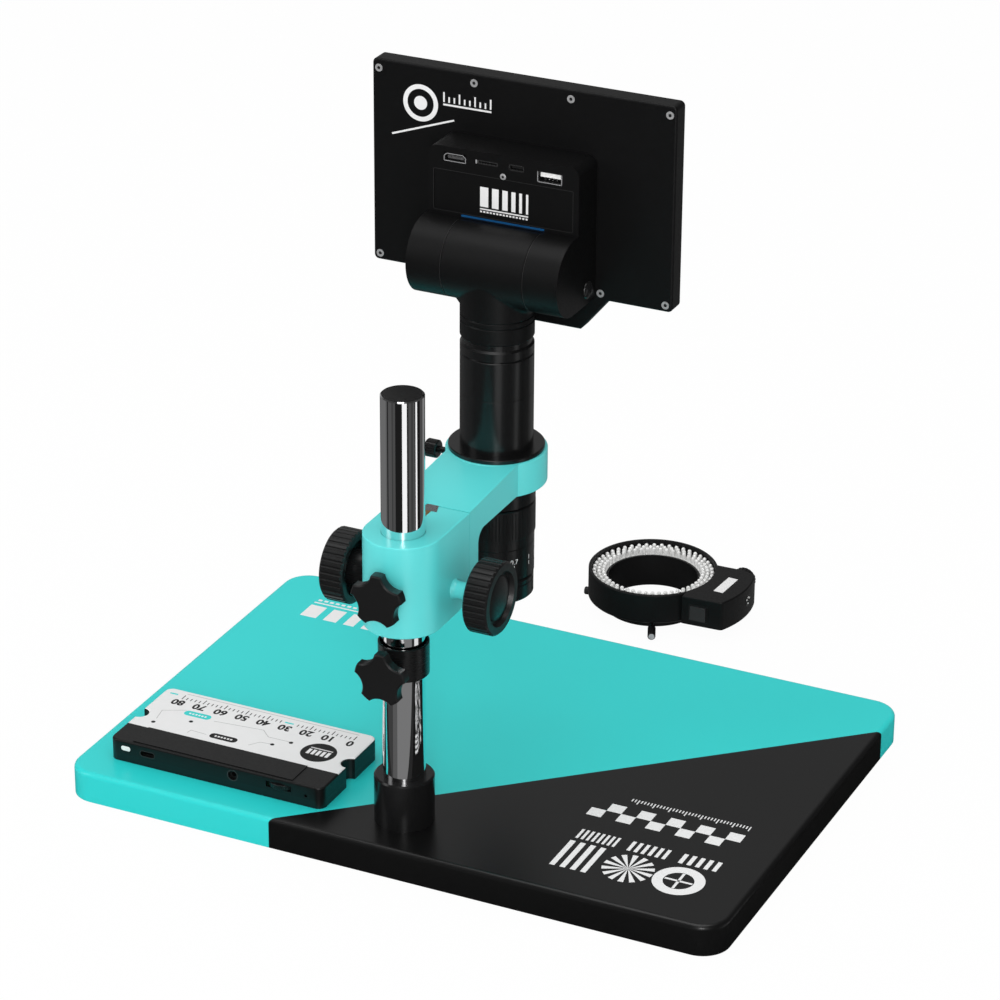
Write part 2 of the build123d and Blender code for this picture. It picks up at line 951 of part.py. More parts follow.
def lens_mount():
    """Flange, spigot, collar and long inner guide tube of the lens."""
    outline = [
        (guide_bore, guide_bottom()), (guide_radius, guide_bottom()), (guide_radius, lens_collar_bottom),
        (lens_collar_radius, lens_collar_bottom), (lens_collar_radius, ring_bottom),
        (lens_spigot_radius, ring_bottom), (lens_spigot_radius, ring_top), (flange_radius, ring_top),
        (flange_radius, flange_top - flange_bevel), (flange_radius - flange_bevel, flange_top),
        (guide_bore, flange_top),
    ]
    return turned(outline, lens)


def groove(radius, z, depth, width):
    """Three outline points of a small V groove cut into a turned wall, low side first."""
    return [(radius, z - width / 2), (radius - depth, z), (radius, z + width / 2)]


def upper_tube():
    """Black tube that stands on the flange."""
    inner = tube_radius - tube_wall
    depth = tube_groove_depth
    outline = [(inner, flange_top), (tube_radius, flange_top)]
    outline += groove(tube_radius, flange_top + tube_groove_low, depth / 2, depth)
    outline += groove(tube_radius, flange_top + tube_groove_high, depth * 2, depth * 4)
    outline += [
        (tube_radius, tube_top - tube_bevel), (tube_radius - tube_bevel, tube_top), (inner, tube_top),
    ]
    return turned(outline, lens)


def camera_adapter():
    """Ring between the tube and the camera's neck, spigoted into both."""
    plug = tube_radius - tube_wall
    neck = neck_radius - neck_wall
    bore = neck - adapter_plug_wall
    outline = [
        (bore, tube_top - adapter_plug), (plug, tube_top - adapter_plug), (plug, tube_top),
        (adapter_radius, tube_top), (adapter_radius, neck_bottom), (neck, neck_bottom),
        (neck, neck_bottom + adapter_plug), (bore, neck_bottom + adapter_plug),
    ]
    return turned(outline, lens)


def objective_ring():
    """Front ring on the end of the guide tube, holding the front glass."""
    lip = guide_bore - front_lip
    seat = guide_bottom()
    outline = [
        (lip, front_bottom), (front_radius - front_bevel, front_bottom),
        (front_radius, front_bottom + front_bevel),
    ]
    depth = front_groove_depth
    outline += groove(front_radius, front_top - front_groove_drop, depth, 2 * depth)
    outline += [
        (front_radius, front_top - front_notch), (front_radius - front_notch * front_notch_slope, front_top),
        (guide_radius, front_top), (guide_radius, seat), (lip, seat),
    ]
    return turned(outline, lens)


def lens_glass(radius, low):
    """Round glass, flat above and gently crowned below."""
    ball = (radius * radius + glass_crown * glass_crown) / (2 * glass_crown)
    dome = Pos(lens[0], lens[1], low + ball) * Sphere(ball)
    return rod(radius, low, low + glass_thickness, lens) & dome


def objective_glass():
    return lens_glass(guide_bore, guide_bottom())


def zoom_ring():
    """Knurled ring that turns on the guide tube."""
    bore = guide_radius + run_clearance
    shoulder = zoom_radius - zoom_bevel
    outline = [
        (bore, zoom_bottom), (shoulder, zoom_bottom), (zoom_radius, zoom_bottom + zoom_bevel),
        (zoom_radius, zoom_top - zoom_bevel), (shoulder, zoom_top), (bore, zoom_top),
    ]
    body = turned(outline, lens)
    grooves = []
    low, high = zoom_bottom + zoom_rib_margin, zoom_top - zoom_rib_margin
    for _, x, y in around(zoom_ribs, zoom_radius + zoom_rib_offset, lens):
        grooves.append(rod(zoom_rib_depth, low, high, (x, y)))
    return body - grooves


def scale_ring():
    """Smooth barrel with the scale, fixed to the zoom ring."""
    bore = guide_radius + run_clearance
    outline = [
        (bore, scale_bottom), (scale_radius - front_notch, scale_bottom),
        (scale_radius, scale_bottom + front_notch),
    ]
    depth = scale_groove_depth
    outline += groove(scale_radius, zoom_bottom - scale_groove_drop, depth, 2 * depth)
    outline += [(scale_radius, zoom_bottom), (bore, zoom_bottom)]
    return turned(outline, lens)


def cell_low():
    return (zoom_bottom + lens_collar_bottom) / 2 - cell_height / 2


def zoom_cell():
    """Carriage with the moving glass, sliding inside the guide tube."""
    outer = guide_bore - run_clearance
    low = cell_low()
    lip = cell_bore - cell_lip
    outline = [
        (lip, low), (outer, low), (outer, low + cell_height), (cell_bore, low + cell_height),
        (cell_bore, low + cell_ledge), (lip, low + cell_ledge),
    ]
    return turned(outline, lens)


def zoom_cell_glass():
    return lens_glass(cell_bore, cell_low() + cell_ledge)


# ---------------------------------------------------------------- camera

def sensor_board_z():
    return axis_z + sensor_board_rise


def camera_housing():
    """Neck and hollow barrel of the camera, with ledges inside for its sensor board."""
    left, right = centre_x - barrel_half_length, centre_x + barrel_half_length
    shoulder = barrel_radius - barrel_bevel
    barrel = [
        (0, left), (shoulder, left), (barrel_radius, left + barrel_bevel),
        (barrel_radius, right - barrel_bevel), (shoulder, right), (0, right),
    ]
    neck = [
        (0, neck_bottom), (neck_radius - neck_bevel, neck_bottom), (neck_radius, neck_bottom + neck_bevel),
    ]
    for rise in (neck_groove_low, neck_groove_high):
        neck += groove(neck_radius, neck_bottom + rise, neck_groove_depth, neck_groove_width)
    neck += [(neck_radius, axis_z), (0, axis_z)]
    body = turned_x(barrel, lens_y, axis_z) + turned(neck, lens)
    over_grooves = neck_bottom + neck_groove_high + neck_groove_width
    joint = []
    for edge in body.edges():
        box = edge.bounding_box()
        if edge.length > neck_radius and box.min.Z > over_grooves and box.max.Z < axis_z + 1:
            joint.append(edge)
    body = fillet(joint, neck_blend)
    inner = barrel_radius - barrel_wall
    hollow = rod_x(inner, left + barrel_wall, right - barrel_wall, lens_y, axis_z)
    bore = neck_radius - neck_wall
    hollow += rod(bore, neck_bottom, axis_z, lens)
    ledge_top = sensor_board_z()
    for side in (-1, 1):
        near = lens_y + side * (sensor_board_size / 2 - sensor_ledge)
        far = lens_y + side * barrel_radius
        shelf = (ledge_top - sensor_ledge, ledge_top)
        hollow -= block((left, right), (min(near, far), max(near, far)), shelf)
    body -= hollow
    return body - rod_x(axle_radius + run_clearance, left - 1, right + 1, lens_y, axis_z)


def sensor_board():
    half = sensor_board_size / 2
    low = sensor_board_z()
    return block((centre_x - half, centre_x + half), (lens_y - half, lens_y + half),
                 (low, low + sensor_board_thickness))


def image_sensor():
    half = sensor_size / 2
    top = sensor_board_z()
    return block((centre_x - half, centre_x + half), (lens_y - half, lens_y + half),
                 (top - sensor_thickness, top))


def hinge_axle():
    """Two stub pins, pressed into the display's ears and turning in the barrel's ends."""
    inner = barrel_half_length - barrel_wall
    outer = barrel_half_length + ear_gap + axle_grip
    ends = (centre_x - outer, centre_x - inner), (centre_x + inner, centre_x + outer)
    return group(rod_x(axle_radius, low, high, lens_y, axis_z) for low, high in ends)


# ---------------------------------------------------------------- display

def display_sheet(inset, y_low, y_high):
    """A slab with the display's outline, chin included, drawn in by an inset."""
    width, height = display_width - 2 * inset, display_height - 2 * inset
    corner = display_corner - inset * display_corner_keep
    screen = Pos(centre_x, display_mid_z) * RectangleRounded(width, height, corner)
    wide, narrow = chin_top_half_width - inset, chin_half_width - inset
    foot = display_low_z - chin_drop + inset
    join = display_low_z + chin_overlap
    shoulder = display_low_z + inset
    chin = Polyline(
        (centre_x - wide, join), (centre_x - wide, shoulder), (centre_x - narrow, foot),
        (centre_x + narrow, foot), (centre_x + wide, shoulder), (centre_x + wide, join), close=True)
    outline = screen + make_face(chin)
    return Pos(0, y_high, 0) * extrude(Plane.XZ * outline, y_high - y_low)


def cover_screw_places():
    outer = display_width / 2 - cover_screw_inset
    high = display_high_z - cover_screw_top_inset
    low = display_low_z + cover_screw_inset
    top = [(centre_x + x, high) for x in (-outer, -cover_screw_inner, cover_screw_inner, outer)]
    return top + [(centre_x + x, low) for x in (-outer, -cover_screw_low, cover_screw_low, outer)]


def ear_block():
    """Both ears as one solid: a round end about the hinge and a flat run to the cover."""
    left, right = centre_x - pod_half_width, centre_x + pod_half_width
    ears = rod_x(ear_radius, left, right, lens_y, axis_z)
    ears += block((left, right), (display_y, lens_y), (axis_z - ear_radius, axis_z + ear_radius))
    return ears


def port_openings():
    """(centre x, centre z, width, height) of the four sockets in the pod."""
    return (
        (centre_x + hdmi_offset, port_z, *hdmi_size), (centre_x + card_offset, port_z, *card_size),
        (centre_x + usb_c_offset, port_z, *usb_c_size),
        (centre_x + usb_a_offset, port_z - usb_a_drop, *usb_a_size),
    )


def pod_floor_z():
    return axis_z + clearing_radius + pod_wall


def main_board_y():
    return pod_rear_y - pod_wall - port_depth


def display_rear_cover():
    """Back shell of the display, with the hinge ears and the pod for the sockets."""
    tray = display_sheet(0, bezel_back_y, display_y)
    tray = fillet(tray.faces().sort_by(Axis.Y)[-1].edges(), display_edge_round)
    left, right = centre_x - pod_half_width, centre_x + pod_half_width
    pod = block((left, right), (display_y - 1, pod_rear_y), (axis_z, pod_top_z))
    upper = pod.edges().filter_by(Axis.Y).group_by(Axis.Z)[-1]
    pod = fillet(upper, pod_corner)
    body = tray + pod + ear_block()
    half_gap = barrel_half_length + ear_gap
    clearing = rod_x(clearing_radius, centre_x - half_gap, centre_x + half_gap, lens_y, axis_z)
    clearing += block((centre_x - half_gap, centre_x + half_gap), (display_y, lens_y),
                      (axis_z - ear_radius - 1, axis_z))
    body -= clearing
    body -= display_sheet(display_wall, bezel_back_y - 1, display_y - display_wall)
    inner = pod_half_width - pod_wall
    body -= block((centre_x - inner, centre_x + inner), (bezel_back_y, pod_rear_y - pod_wall),
                  (pod_floor_z(), pod_top_z - pod_wall))
    for x, z, width, height in port_openings():
        body -= block((x - width / 2, x + width / 2), (pod_rear_y - pod_wall, pod_rear_y),
                      (z - height / 2, z + height / 2))
    body -= block((centre_x - label_half_width, centre_x + label_half_width),
                  (pod_rear_y - label_recess, pod_rear_y), (label_low_z, label_low_z + label_height))
    body -= light_bar_slot()
    for x, z in cover_screw_places():
        body += rod_y(cover_boss_radius, bezel_back_y, display_y - display_wall, x, z)
    for cut in cover_screw_cuts():
        body -= cut
    return body - rod_x(axle_radius, centre_x - half_gap - axle_grip, centre_x + half_gap + axle_grip,
                        lens_y, axis_z)


def light_bar_slot():
    low = axis_z + ear_radius
    return block((centre_x - half_light(), centre_x + half_light()),
                 (pod_rear_y - light_bar_depth, pod_rear_y), (low, low + light_bar_height))


def half_light():
    return barrel_half_length + ear_gap


def status_light():
    """Thin light bar along the pod's lower edge."""
    return light_bar_slot()


def cover_screw_cuts():
    cuts = []
    for x, z in cover_screw_places():
        tip = display_y - cover_screw_length
        cuts.append(rod_y(cover_screw_diameter / 2, tip, display_y, x, z))
        cuts.append(rod_y(cover_screw_head, display_y - cover_screw_sunk, display_y, x, z))
    return cuts


def cover_screws():
    """Eight screws from the back of the cover into the bezel."""
    solids = []
    for x, z in cover_screw_places():
        shank = rod_y(cover_screw_diameter / 2, display_y - cover_screw_length, display_y - 1, x, z)
        head = rod_y(cover_screw_head, display_y - cover_screw_sunk, display_y - cover_screw_drop, x, z)
        deep = (display_y - cross_slot_depth, display_y)
        long, thin = cross_slot_reach, cross_slot_half
        slot = block((x - long, x + long), deep, (z - thin, z + thin))
        cross = block((x - thin, x + thin), deep, (z - long, z + long))
        solids.append(shank + head - slot - cross)
    return group(solids)


def window():
    """Clear opening of the bezel as x and z ranges."""
    half = display_width / 2 - bezel_border
    return (centre_x - half, centre_x + half), (display_low_z + bezel_border, display_high_z - bezel_border)


def grown(span, by):
    return span[0] - by, span[1] + by


def key_places():
    middle = display_low_z - chin_drop / 2
    return {
        "menu_key": (centre_x + key_spacing, middle),
        "power_key": (centre_x, middle),
        "select_key": (centre_x - key_spacing, middle),
    }


def display_bezel():
    """Front frame, rebated for the glass and bored for the three keys."""
    body = display_sheet(0, display_front_y, bezel_back_y)
    body = chamfer(body.faces().sort_by(Axis.Y)[0].edges(), bezel_bevel)
    x_range, z_range = window()
    body -= block(x_range, (display_front_y, bezel_back_y), z_range)
    body -= block(grown(x_range, glass_lap), (display_front_y, display_front_y + glass_sheet),
                  grown(z_range, glass_lap))
    for x, z in key_places().values():
        body -= rod_y(key_radius + run_clearance * 2, display_front_y, bezel_back_y, x, z)
    for x, z in cover_screw_places():
        body -= rod_y(cover_screw_diameter / 2, display_y - cover_screw_length, bezel_back_y, x, z)
    return body


def cover_glass():
    x_range, z_range = window()
    return block(grown(x_range, glass_lap), (display_front_y, display_front_y + glass_sheet),
                 grown(z_range, glass_lap))


def lcd_panel():
    x_range, z_range = window()
    return block(grown(x_range, panel_lap), (bezel_back_y, bezel_back_y + panel_thickness),
                 grown(z_range, panel_lap / 2))


def main_board():
    half = pod_half_width - pod_wall - main_board_margin
    return block((centre_x - half, centre_x + half), (main_board_y() - board_sheet, main_board_y()),
                 (pod_floor_z() + 2, pod_top_z - pod_wall - 1))


def port_shells():
    """Thin metal socket shells between the main board and the pod's openings."""
    solids = []
    front = pod_rear_y - port_set_back
    for x, z, width, height in port_openings():
        half_w, half_h = width / 2 - seat_clearance, height / 2 - seat_clearance
        shell = block((x - half_w, x + half_w), (main_board_y(), front), (z - half_h, z + half_h))
        mouth = (main_board_y() + port_back_wall, front)
        shell -= block((x - half_w + port_shell, x + half_w - port_shell), mouth,
                       (z - half_h + port_shell, z + half_h - port_shell))
        if height > port_low_height:
            tongue = max(half_h * port_tongue_share, port_tongue_least)
            lift = half_h * port_tongue_lift if height > port_tall_height else 0.0
            reach = half_w * port_tongue_reach
            deep = (main_board_y() + port_tongue_back, front - port_tongue_drop)
            shell += block((x - reach, x + reach), deep, (z + lift - tongue, z + lift + tongue))
        solids.append(shell)
    return group(solids)


def pod_plate():
    """Plain plate let into the back of the pod."""
    return block((centre_x - label_half_width, centre_x + label_half_width),
                 (pod_rear_y - label_recess, pod_rear_y - label_recess + label_thickness),
                 (label_low_z, label_low_z + label_height))


def key(name):
    """Round key with a collar behind the bezel that stops it falling out."""
    x, z = key_places()[name]
    front = display_front_y - key_proud
    cap = rod_y(key_radius, front, bezel_back_y + part_clearance, x, z)
    cap = chamfer(cap.faces().sort_by(Axis.Y)[0].edges(), key_bevel)
    back = bezel_back_y + part_clearance
    collar_back = back + key_collar_thickness
    cap += rod_y(key_radius + key_collar, back, collar_back, x, z)
    return cap + rod_y(key_stem / 2, collar_back, collar_back + key_stem_length, x, z)


# ---------------------------------------------------------------- ring light

def light_point(offset):
    return light_x + offset[0], light_y + offset[1]


def control_outline():
    """Plan of the control box, from inside the ring out to its rounded end."""
    back = [light_point(place) for place in control_back]
    front = [light_point(place) for place in control_front]
    middle = (
        (back[1][0] + front[0][0]) / 2 - control_bulge,
        (back[1][1] + front[0][1]) / 2,
    )
    inner = light_x + control_inner_x
    sides = Polyline(*front, (inner, front[2][1]), (inner, back[0][1]), *back)
    return make_face(sides + ThreePointArc(back[1], middle, front[0]))


def rocker_face_y():
    """Back wall of the control box level with the rocker."""
    (x1, y1), (x2, y2) = control_back
    share = (-rocker_offset - x1) / (x2 - x1)
    return light_y + y1 + share * (y2 - y1)


def dimmer_face_y():
    (x1, y1), (x2, y2) = control_front[0], control_front[1]
    share = (-dimmer_x - x1) / (x2 - x1)
    return light_y + y1 + share * (y2 - y1)


def rocker_spans(gap):
    x = light_x - rocker_offset
    half_w, half_h = rocker_width / 2 + gap, rocker_height / 2 + gap
    return (x - half_w, x + half_w), (rocker_rise - half_h, rocker_rise + half_h)


def light_housing():
    """Ring shell on its narrow foot, with its inner wall and ledge, and the control box in one moulding."""
    ledge = light_bore_radius + light_ledge
    wall_in = light_radius - light_wall
    foot = light_foot_height
    foot_out = light_bore_radius + light_foot_wall
    floor = foot + light_wall
    outline = [
        (light_bore_radius, 0), (foot_out, 0), (foot_out, foot), (light_radius - light_low_bevel, foot),
        (light_radius, foot + light_low_bevel),
        (light_radius, light_height - light_top_bevel), (light_radius - light_top_bevel, light_height),
        (wall_in, light_height), (wall_in, floor), (ledge + light_ledge_step, floor),
        (ledge + light_ledge_step, led_board_rise), (ledge, led_board_rise),
        (ledge, light_bore_height), (light_bore_radius, light_bore_height),
    ]
    ring = turned(outline, light_centre)
    plan = control_outline()
    box = Pos(0, 0, control_floor) * extrude(plan, light_height - control_floor)
    upright = box.edges().filter_by(Axis.Z).sort_by(Axis.X)[:2]
    box = fillet(upright, control_corner)
    box = fillet(box.faces().sort_by(Axis.Z)[-1].edges(), control_edge)
    inside_ring = rod(light_radius - 1, -1, light_height + 1, light_centre)
    box -= inside_ring
    inner_plan = offset(plan, -light_wall)
    hollow_height = light_height - control_floor - 2 * light_wall
    hollow = Pos(0, 0, control_floor + light_wall) * extrude(inner_plan, hollow_height)
    hollow -= rod(light_radius, -1, light_height + 1, light_centre)
    body = ring + box - hollow
    x_range, z_range = rocker_spans(part_clearance)
    face = rocker_face_y()
    body -= block(x_range, (face - rocker_cut, face + 1), z_range)
    near, far = dimmer_face_y() - dimmer_bore_back, dimmer_face_y() + dimmer_bore_reach
    body -= rod_y(dimmer_shaft / 2 + run_clearance, near, far, light_x - dimmer_x, dimmer_rise)
    for cut in light_screw_bores(run_clearance):
        body -= cut
    return body


def light_screw_bores(gap):
    """Radial bores through the ring's foot for the thumb screws."""
    reach = light_foot_wall + 2
    for angle in light_screw_angles:
        bore = Cylinder(light_screw_shaft / 2 + gap, reach)
        lie = Rot(0, 0, angle) * Pos(light_bore_radius - 1 + reach / 2, 0, light_screw_rise) * Rot(0, 90, 0)
        yield Pos(light_x, light_y, 0) * lie * bore


def light_screw(index):
    """Thumb screw pointing to the ring's centre."""
    angle = light_screw_angles[index]
    tip = light_bore_radius + 0.5
    head = light_bore_radius + light_foot_wall + light_screw_gaps[index]
    end = head + light_screw_head_length
    radius, bevel = light_screw_head_radius, light_screw_bevel
    outline = [
        (0, tip), (light_screw_shaft / 2, tip), (light_screw_shaft / 2, head), (radius - bevel, head),
        (radius, head + bevel), (radius, end - bevel), (radius - bevel, end), (0, end),
    ]
    body = turned_x(outline, 0, 0)
    grooves = []
    for _, y, z in around(light_screw_ribs, radius + light_screw_rib_offset, (0, 0)):
        grooves.append(rod_x(light_screw_rib_radius, head, end, y, z))
    return Pos(light_x, light_y, light_screw_rise) * Rot(0, 0, angle) * (body - grooves)


def led_board():
    low = led_board_rise
    high = low + led_board_thickness
    outer = light_radius - light_wall - part_clearance
    inner = light_bore_radius + light_ledge + part_clearance
    return rod(outer, low, high, light_centre) - rod(inner, low, high, light_centre)


def led_bulbs():
    """Three staggered rows of domed bulbs standing on their board."""
    low = led_board_rise + led_board_thickness
    shoulder = led_height - led_radius
    face = make_face(
        Polyline((0, led_height), (0, 0), (led_radius, 0), (led_radius, shoulder))
        + RadiusArc((0, led_height), (led_radius, shoulder), led_radius)
    )
    bulb = revolve(Plane.XZ * face, Axis.Z)
    solids = []
    for row, radius in enumerate(led_row_radii):
        start = 180.0 / leds_per_row * (row % 2)
        for _, x, y in around(leds_per_row, radius, light_centre, start):
            solids.append(Pos(x, y, low) * bulb)
    return group(solids)


def rocker_switch():
    x_range, z_range = rocker_spans(0)
    face = rocker_face_y()
    body = block(x_range, (face - rocker_depth, face + rocker_proud), z_range)
    back_edges = body.edges().filter_by(Axis.Z).group_by(Axis.Y)[0]
    return chamfer(back_edges, rocker_gap)


def dimmer_knob():
    """Ribbed knob with its shaft through the box wall."""
    x = light_x - dimmer_x
    face = dimmer_face_y() - part_clearance
    body = rod_y(dimmer_radius, face - dimmer_proud, face, x, dimmer_rise)
    body = chamfer(body.faces().sort_by(Axis.Y)[0].edges(), dimmer_bevel)
    grooves = []
    for _, rib_x, rib_z in around(dimmer_ribs, dimmer_radius + dimmer_rib_offset, (x, dimmer_rise)):
        grooves.append(rod_y(dimmer_rib_radius, face - dimmer_proud, face - 1, rib_x, rib_z))
    return body - grooves + rod_y(dimmer_shaft / 2, face, face + dimmer_shaft_length, x, dimmer_rise)


# ---------------------------------------------------------------- module box

def module_spans():
    return (module_right, module_left), (module_front, module_back)


def wheel_place():
    return module_left - wheel_from_left, module_back + wheel_proud - wheel_radius


def module_notches(low, high):
    y = module_back - notch_forward
    return [rod(notch_radius, low, high, (x, y)) for x in (module_left, module_right)]


def module_hollow(low, high):
    """Inside space of the box, clear of the finger notches."""
    x_range, y_range = module_spans()
    inner = upright_rounded(grown(x_range, -module_wall), grown(y_range, -module_wall), (low, high),
                            module_corner - module_wall)
    y = module_back - notch_forward
    for x in (module_left, module_right):
        inner -= rod(notch_radius + module_wall, low - 1, high + 1, (x, y))
    return inner


def wheel_slot():
    """Opening in the back wall for the thumbwheel."""
    x, _ = wheel_place()
    z = board_top + wheel_rise
    half = wheel_radius * wheel_slot_share
    tall = wheel_thickness / 2 + part_clearance
    return block((x - half, x + half), (module_back - module_wall, module_back), (z - tall, z + tall))


def module_base():
    """Lower tray of the module box, with the wheel's pin and three board pillars."""
    x_range, y_range = module_spans()
    top = board_top + module_split
    body = upright_rounded(x_range, y_range, (board_top, top), module_corner)
    body -= module_notches(board_top, top)
    body -= module_hollow(board_top + module_wall, top)
    floor = board_top + module_wall
    pin_top = board_top + module_height - module_wall - part_clearance
    body += rod(module_pin_radius, floor, pin_top, wheel_place())
    middle = (module_left + module_right) / 2
    for x in (module_left - module_pillar_inset, middle, module_right + module_pillar_inset):
        for y in (module_front + module_pillar_inset, module_back - module_pillar_inset):
            body += rod(module_pillar_radius, floor, board_top + module_pillar, (x, y))
    return body


def socket_box(size, y_low, y_high):
    """A (width, height) box about the module's flat socket, between two depths."""
    x, z = module_left - module_usb_from_left, board_top + module_usb_rise
    return block((x - size[0] / 2, x + size[0] / 2), (y_low, y_high), (z - size[1] / 2, z + size[1] / 2))


def module_cover():
    """Upper shell with the strip along its back and openings for the sockets."""
    x_range, y_range = module_spans()
    low, top = board_top + module_split, board_top + module_height
    body = upright_rounded(x_range, y_range, (low, top), module_corner)
    body -= module_notches(low, top)
    rim = body.faces().sort_by(Axis.Z)[-1].edges()
    body = fillet(rim, module_edge_round)
    start = module_left - strip_from_left
    body += block((start - strip_length, start), (module_back - strip_depth, module_back - 2),
                  (top - 1, top + strip_lift))
    body -= module_hollow(low, top - module_wall)
    body -= wheel_slot()
    back = (module_back - module_wall, module_back)
    body -= socket_box(module_usb_opening, *back)
    jack_x, jack_z = module_left - module_jack_from_left, board_top + module_jack_rise
    body -= rod_y(module_jack_radius, *back, jack_x, jack_z)
    hole_x, hole_z = module_left - module_hole_from_left, board_top + module_hole_rise
    body -= rod_y(module_hole_radius, *back, hole_x, hole_z)
    window_x = module_left - module_window_from_left
    low_edge, high_edge = (board_top + rise for rise in module_window_rise)
    return body - block((window_x - module_window_half_width, window_x + module_window_half_width), back,
                        (low_edge, high_edge))


def module_board():
    """Circuit board on the pillars, with the two sockets behind the back wall."""
    low = board_top + module_pillar
    top = low + board_sheet
    gap = module_wall + module_board_gap
    y_back = module_back - module_wall - part_clearance
    half_x = notch_radius + module_wall + module_notch_gap
    body = block((module_right + half_x, module_left - half_x), (module_front + gap, y_back), (low, top))
    usb_x = module_left - module_usb_from_left
    wide, tall = module_usb_shell
    body += block((usb_x - wide / 2, usb_x + wide / 2), (y_back - module_usb_depth, y_back),
                  (top, board_top + module_usb_rise + tall / 2))
    body -= socket_box(module_usb_mouth, y_back - module_usb_bore, y_back)
    jack_x = module_left - module_jack_from_left
    width, rise = module_jack_body
    body += block((jack_x - width / 2, jack_x + width / 2), (y_back - module_jack_depth, y_back),
                  (top, board_top + rise))
    body -= rod_y(module_jack_bore_radius, y_back - module_jack_bore, y_back, jack_x,
                  board_top + module_jack_rise)
    return body - rod(module_pin_radius + wheel_pin_gap, low, top, wheel_place())


def module_thumbwheel():
    z = board_top + wheel_rise
    half = wheel_thickness / 2
    place = wheel_place()
    body = rod(wheel_radius, z - half, z + half, place)
    rim = body.faces().sort_by(Axis.Z)
    body = chamfer(rim[0].edges() + rim[-1].edges(), wheel_bevel)
    body -= rod(module_pin_radius + run_clearance, z - half, z + half, place)
    grooves = []
    for _, x, y in around(wheel_ribs, wheel_radius + wheel_rib_offset, place):
        grooves.append(rod(wheel_rib_radius, z - half, z + half, (x, y)))
    return body - grooves


nodes = {
    "base_plate": base_plate, "base_feet": base_feet, "post_socket": post_socket,
    "socket_screws": socket_screws, "post_tube": post_tube, "post_cap": post_cap,
    "safety_collar": safety_collar, "collar_star_knob": collar_star_knob, "collar_stud": collar_stud,
    "column_sleeve": column_sleeve, "focus_block": focus_block, "pinion_bushes": pinion_bushes,
    "clamp_star_knob": clamp_star_knob, "clamp_stud": clamp_stud, "pinion_shaft": pinion_shaft,
    "left_focus_knob": lambda: focus_knob(1), "right_focus_knob": lambda: focus_knob(-1),
    "tension_collar": tension_collar, "focus_arm": focus_arm, "dovetail_rail": dovetail_rail,
    "rack": rack, "rail_screws": rail_screws, "ring_thumb_screw": ring_thumb_screw,
    "lens_mount": lens_mount, "upper_tube": upper_tube, "camera_adapter": camera_adapter,
    "objective_ring": objective_ring, "objective_glass": objective_glass, "zoom_ring": zoom_ring,
    "scale_ring": scale_ring, "zoom_cell": zoom_cell, "zoom_cell_glass": zoom_cell_glass,
    "camera_housing": camera_housing, "sensor_board": sensor_board, "image_sensor": image_sensor,
    "hinge_axle": hinge_axle, "display_rear_cover": display_rear_cover, "display_bezel": display_bezel,
    "lcd_panel": lcd_panel, "cover_glass": cover_glass, "main_board": main_board,
    "port_shells": port_shells, "cover_screws": cover_screws, "pod_plate": pod_plate,
    "status_light": status_light, "power_key": lambda: key("power_key"),
    "menu_key": lambda: key("menu_key"), "select_key": lambda: key("select_key"),
    "light_housing": light_housing, "led_board": led_board, "led_bulbs": led_bulbs,
    "rocker_switch": rocker_switch, "dimmer_knob": dimmer_knob,
    "back_light_screw": lambda: light_screw(0),
    "left_light_screw": lambda: light_screw(1),
    "front_light_screw": lambda: light_screw(2),
    "module_base": module_base, "module_cover": module_cover, "module_board": module_board,
    "module_thumbwheel": module_thumbwheel,
}

os.makedirs("parts", exist_ok=True)
for name, build in nodes.items():
    export_step(build(), f"parts/{name}.step")
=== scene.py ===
# A digital microscope on a column stand, with a loose ring light and a module box.
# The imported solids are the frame: this script gives them their finishes and adds the
# small printed and moulded pieces. Metres, in the part's own axes: +X to the viewer's
# right, -Y towards the viewer, +Z up the column. Prints are drawn in millimetres.
import math

import bmesh
import bpy
from mathutils import Matrix, Vector


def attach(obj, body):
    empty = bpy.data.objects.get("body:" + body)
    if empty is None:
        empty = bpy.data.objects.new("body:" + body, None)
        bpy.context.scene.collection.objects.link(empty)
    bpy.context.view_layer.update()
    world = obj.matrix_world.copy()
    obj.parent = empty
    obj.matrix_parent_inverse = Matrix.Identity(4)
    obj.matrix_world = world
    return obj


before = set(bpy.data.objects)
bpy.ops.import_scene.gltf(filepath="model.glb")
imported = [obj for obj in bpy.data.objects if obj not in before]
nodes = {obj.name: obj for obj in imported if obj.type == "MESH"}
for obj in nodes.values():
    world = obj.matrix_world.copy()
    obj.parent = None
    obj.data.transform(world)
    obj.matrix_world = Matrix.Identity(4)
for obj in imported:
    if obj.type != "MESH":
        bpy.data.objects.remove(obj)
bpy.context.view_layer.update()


# ---- viewpoint ----
# A long lens behind the column, looking down over the focus head at the display's
# back. Its place and turn are held as yaw, pitch and roll.
camera_place = Vector((-0.88762, 1.86441, 1.15771))
camera_yaw = math.radians(154.68157)
camera_pitch = math.radians(25.42213)
camera_roll = math.radians(0.3766)
ahead = Vector((
    math.sin(camera_yaw) * math.cos(camera_pitch),
    math.cos(camera_yaw) * math.cos(camera_pitch),
    -math.sin(camera_pitch),
))
level_right = ahead.cross(Vector((0, 0, 1))).normalized()
level_up = level_right.cross(ahead)
camera_right = math.cos(camera_roll) * level_right + math.sin(camera_roll) * level_up
camera_up = math.cos(camera_roll) * level_up - math.sin(camera_roll) * level_right
camera_data = bpy.data.cameras.new("camera")
camera_data.sensor_width = 36.0
camera_data.lens = 140.775
camera_data.clip_end = 50.0
camera = bpy.data.objects.new("camera", camera_data)
bpy.context.scene.collection.objects.link(camera)
turn = Matrix((camera_right, camera_up, -ahead)).transposed()
camera.matrix_world = Matrix.Translation(camera_place) @ turn.to_4x4()
bpy.context.scene.camera = camera


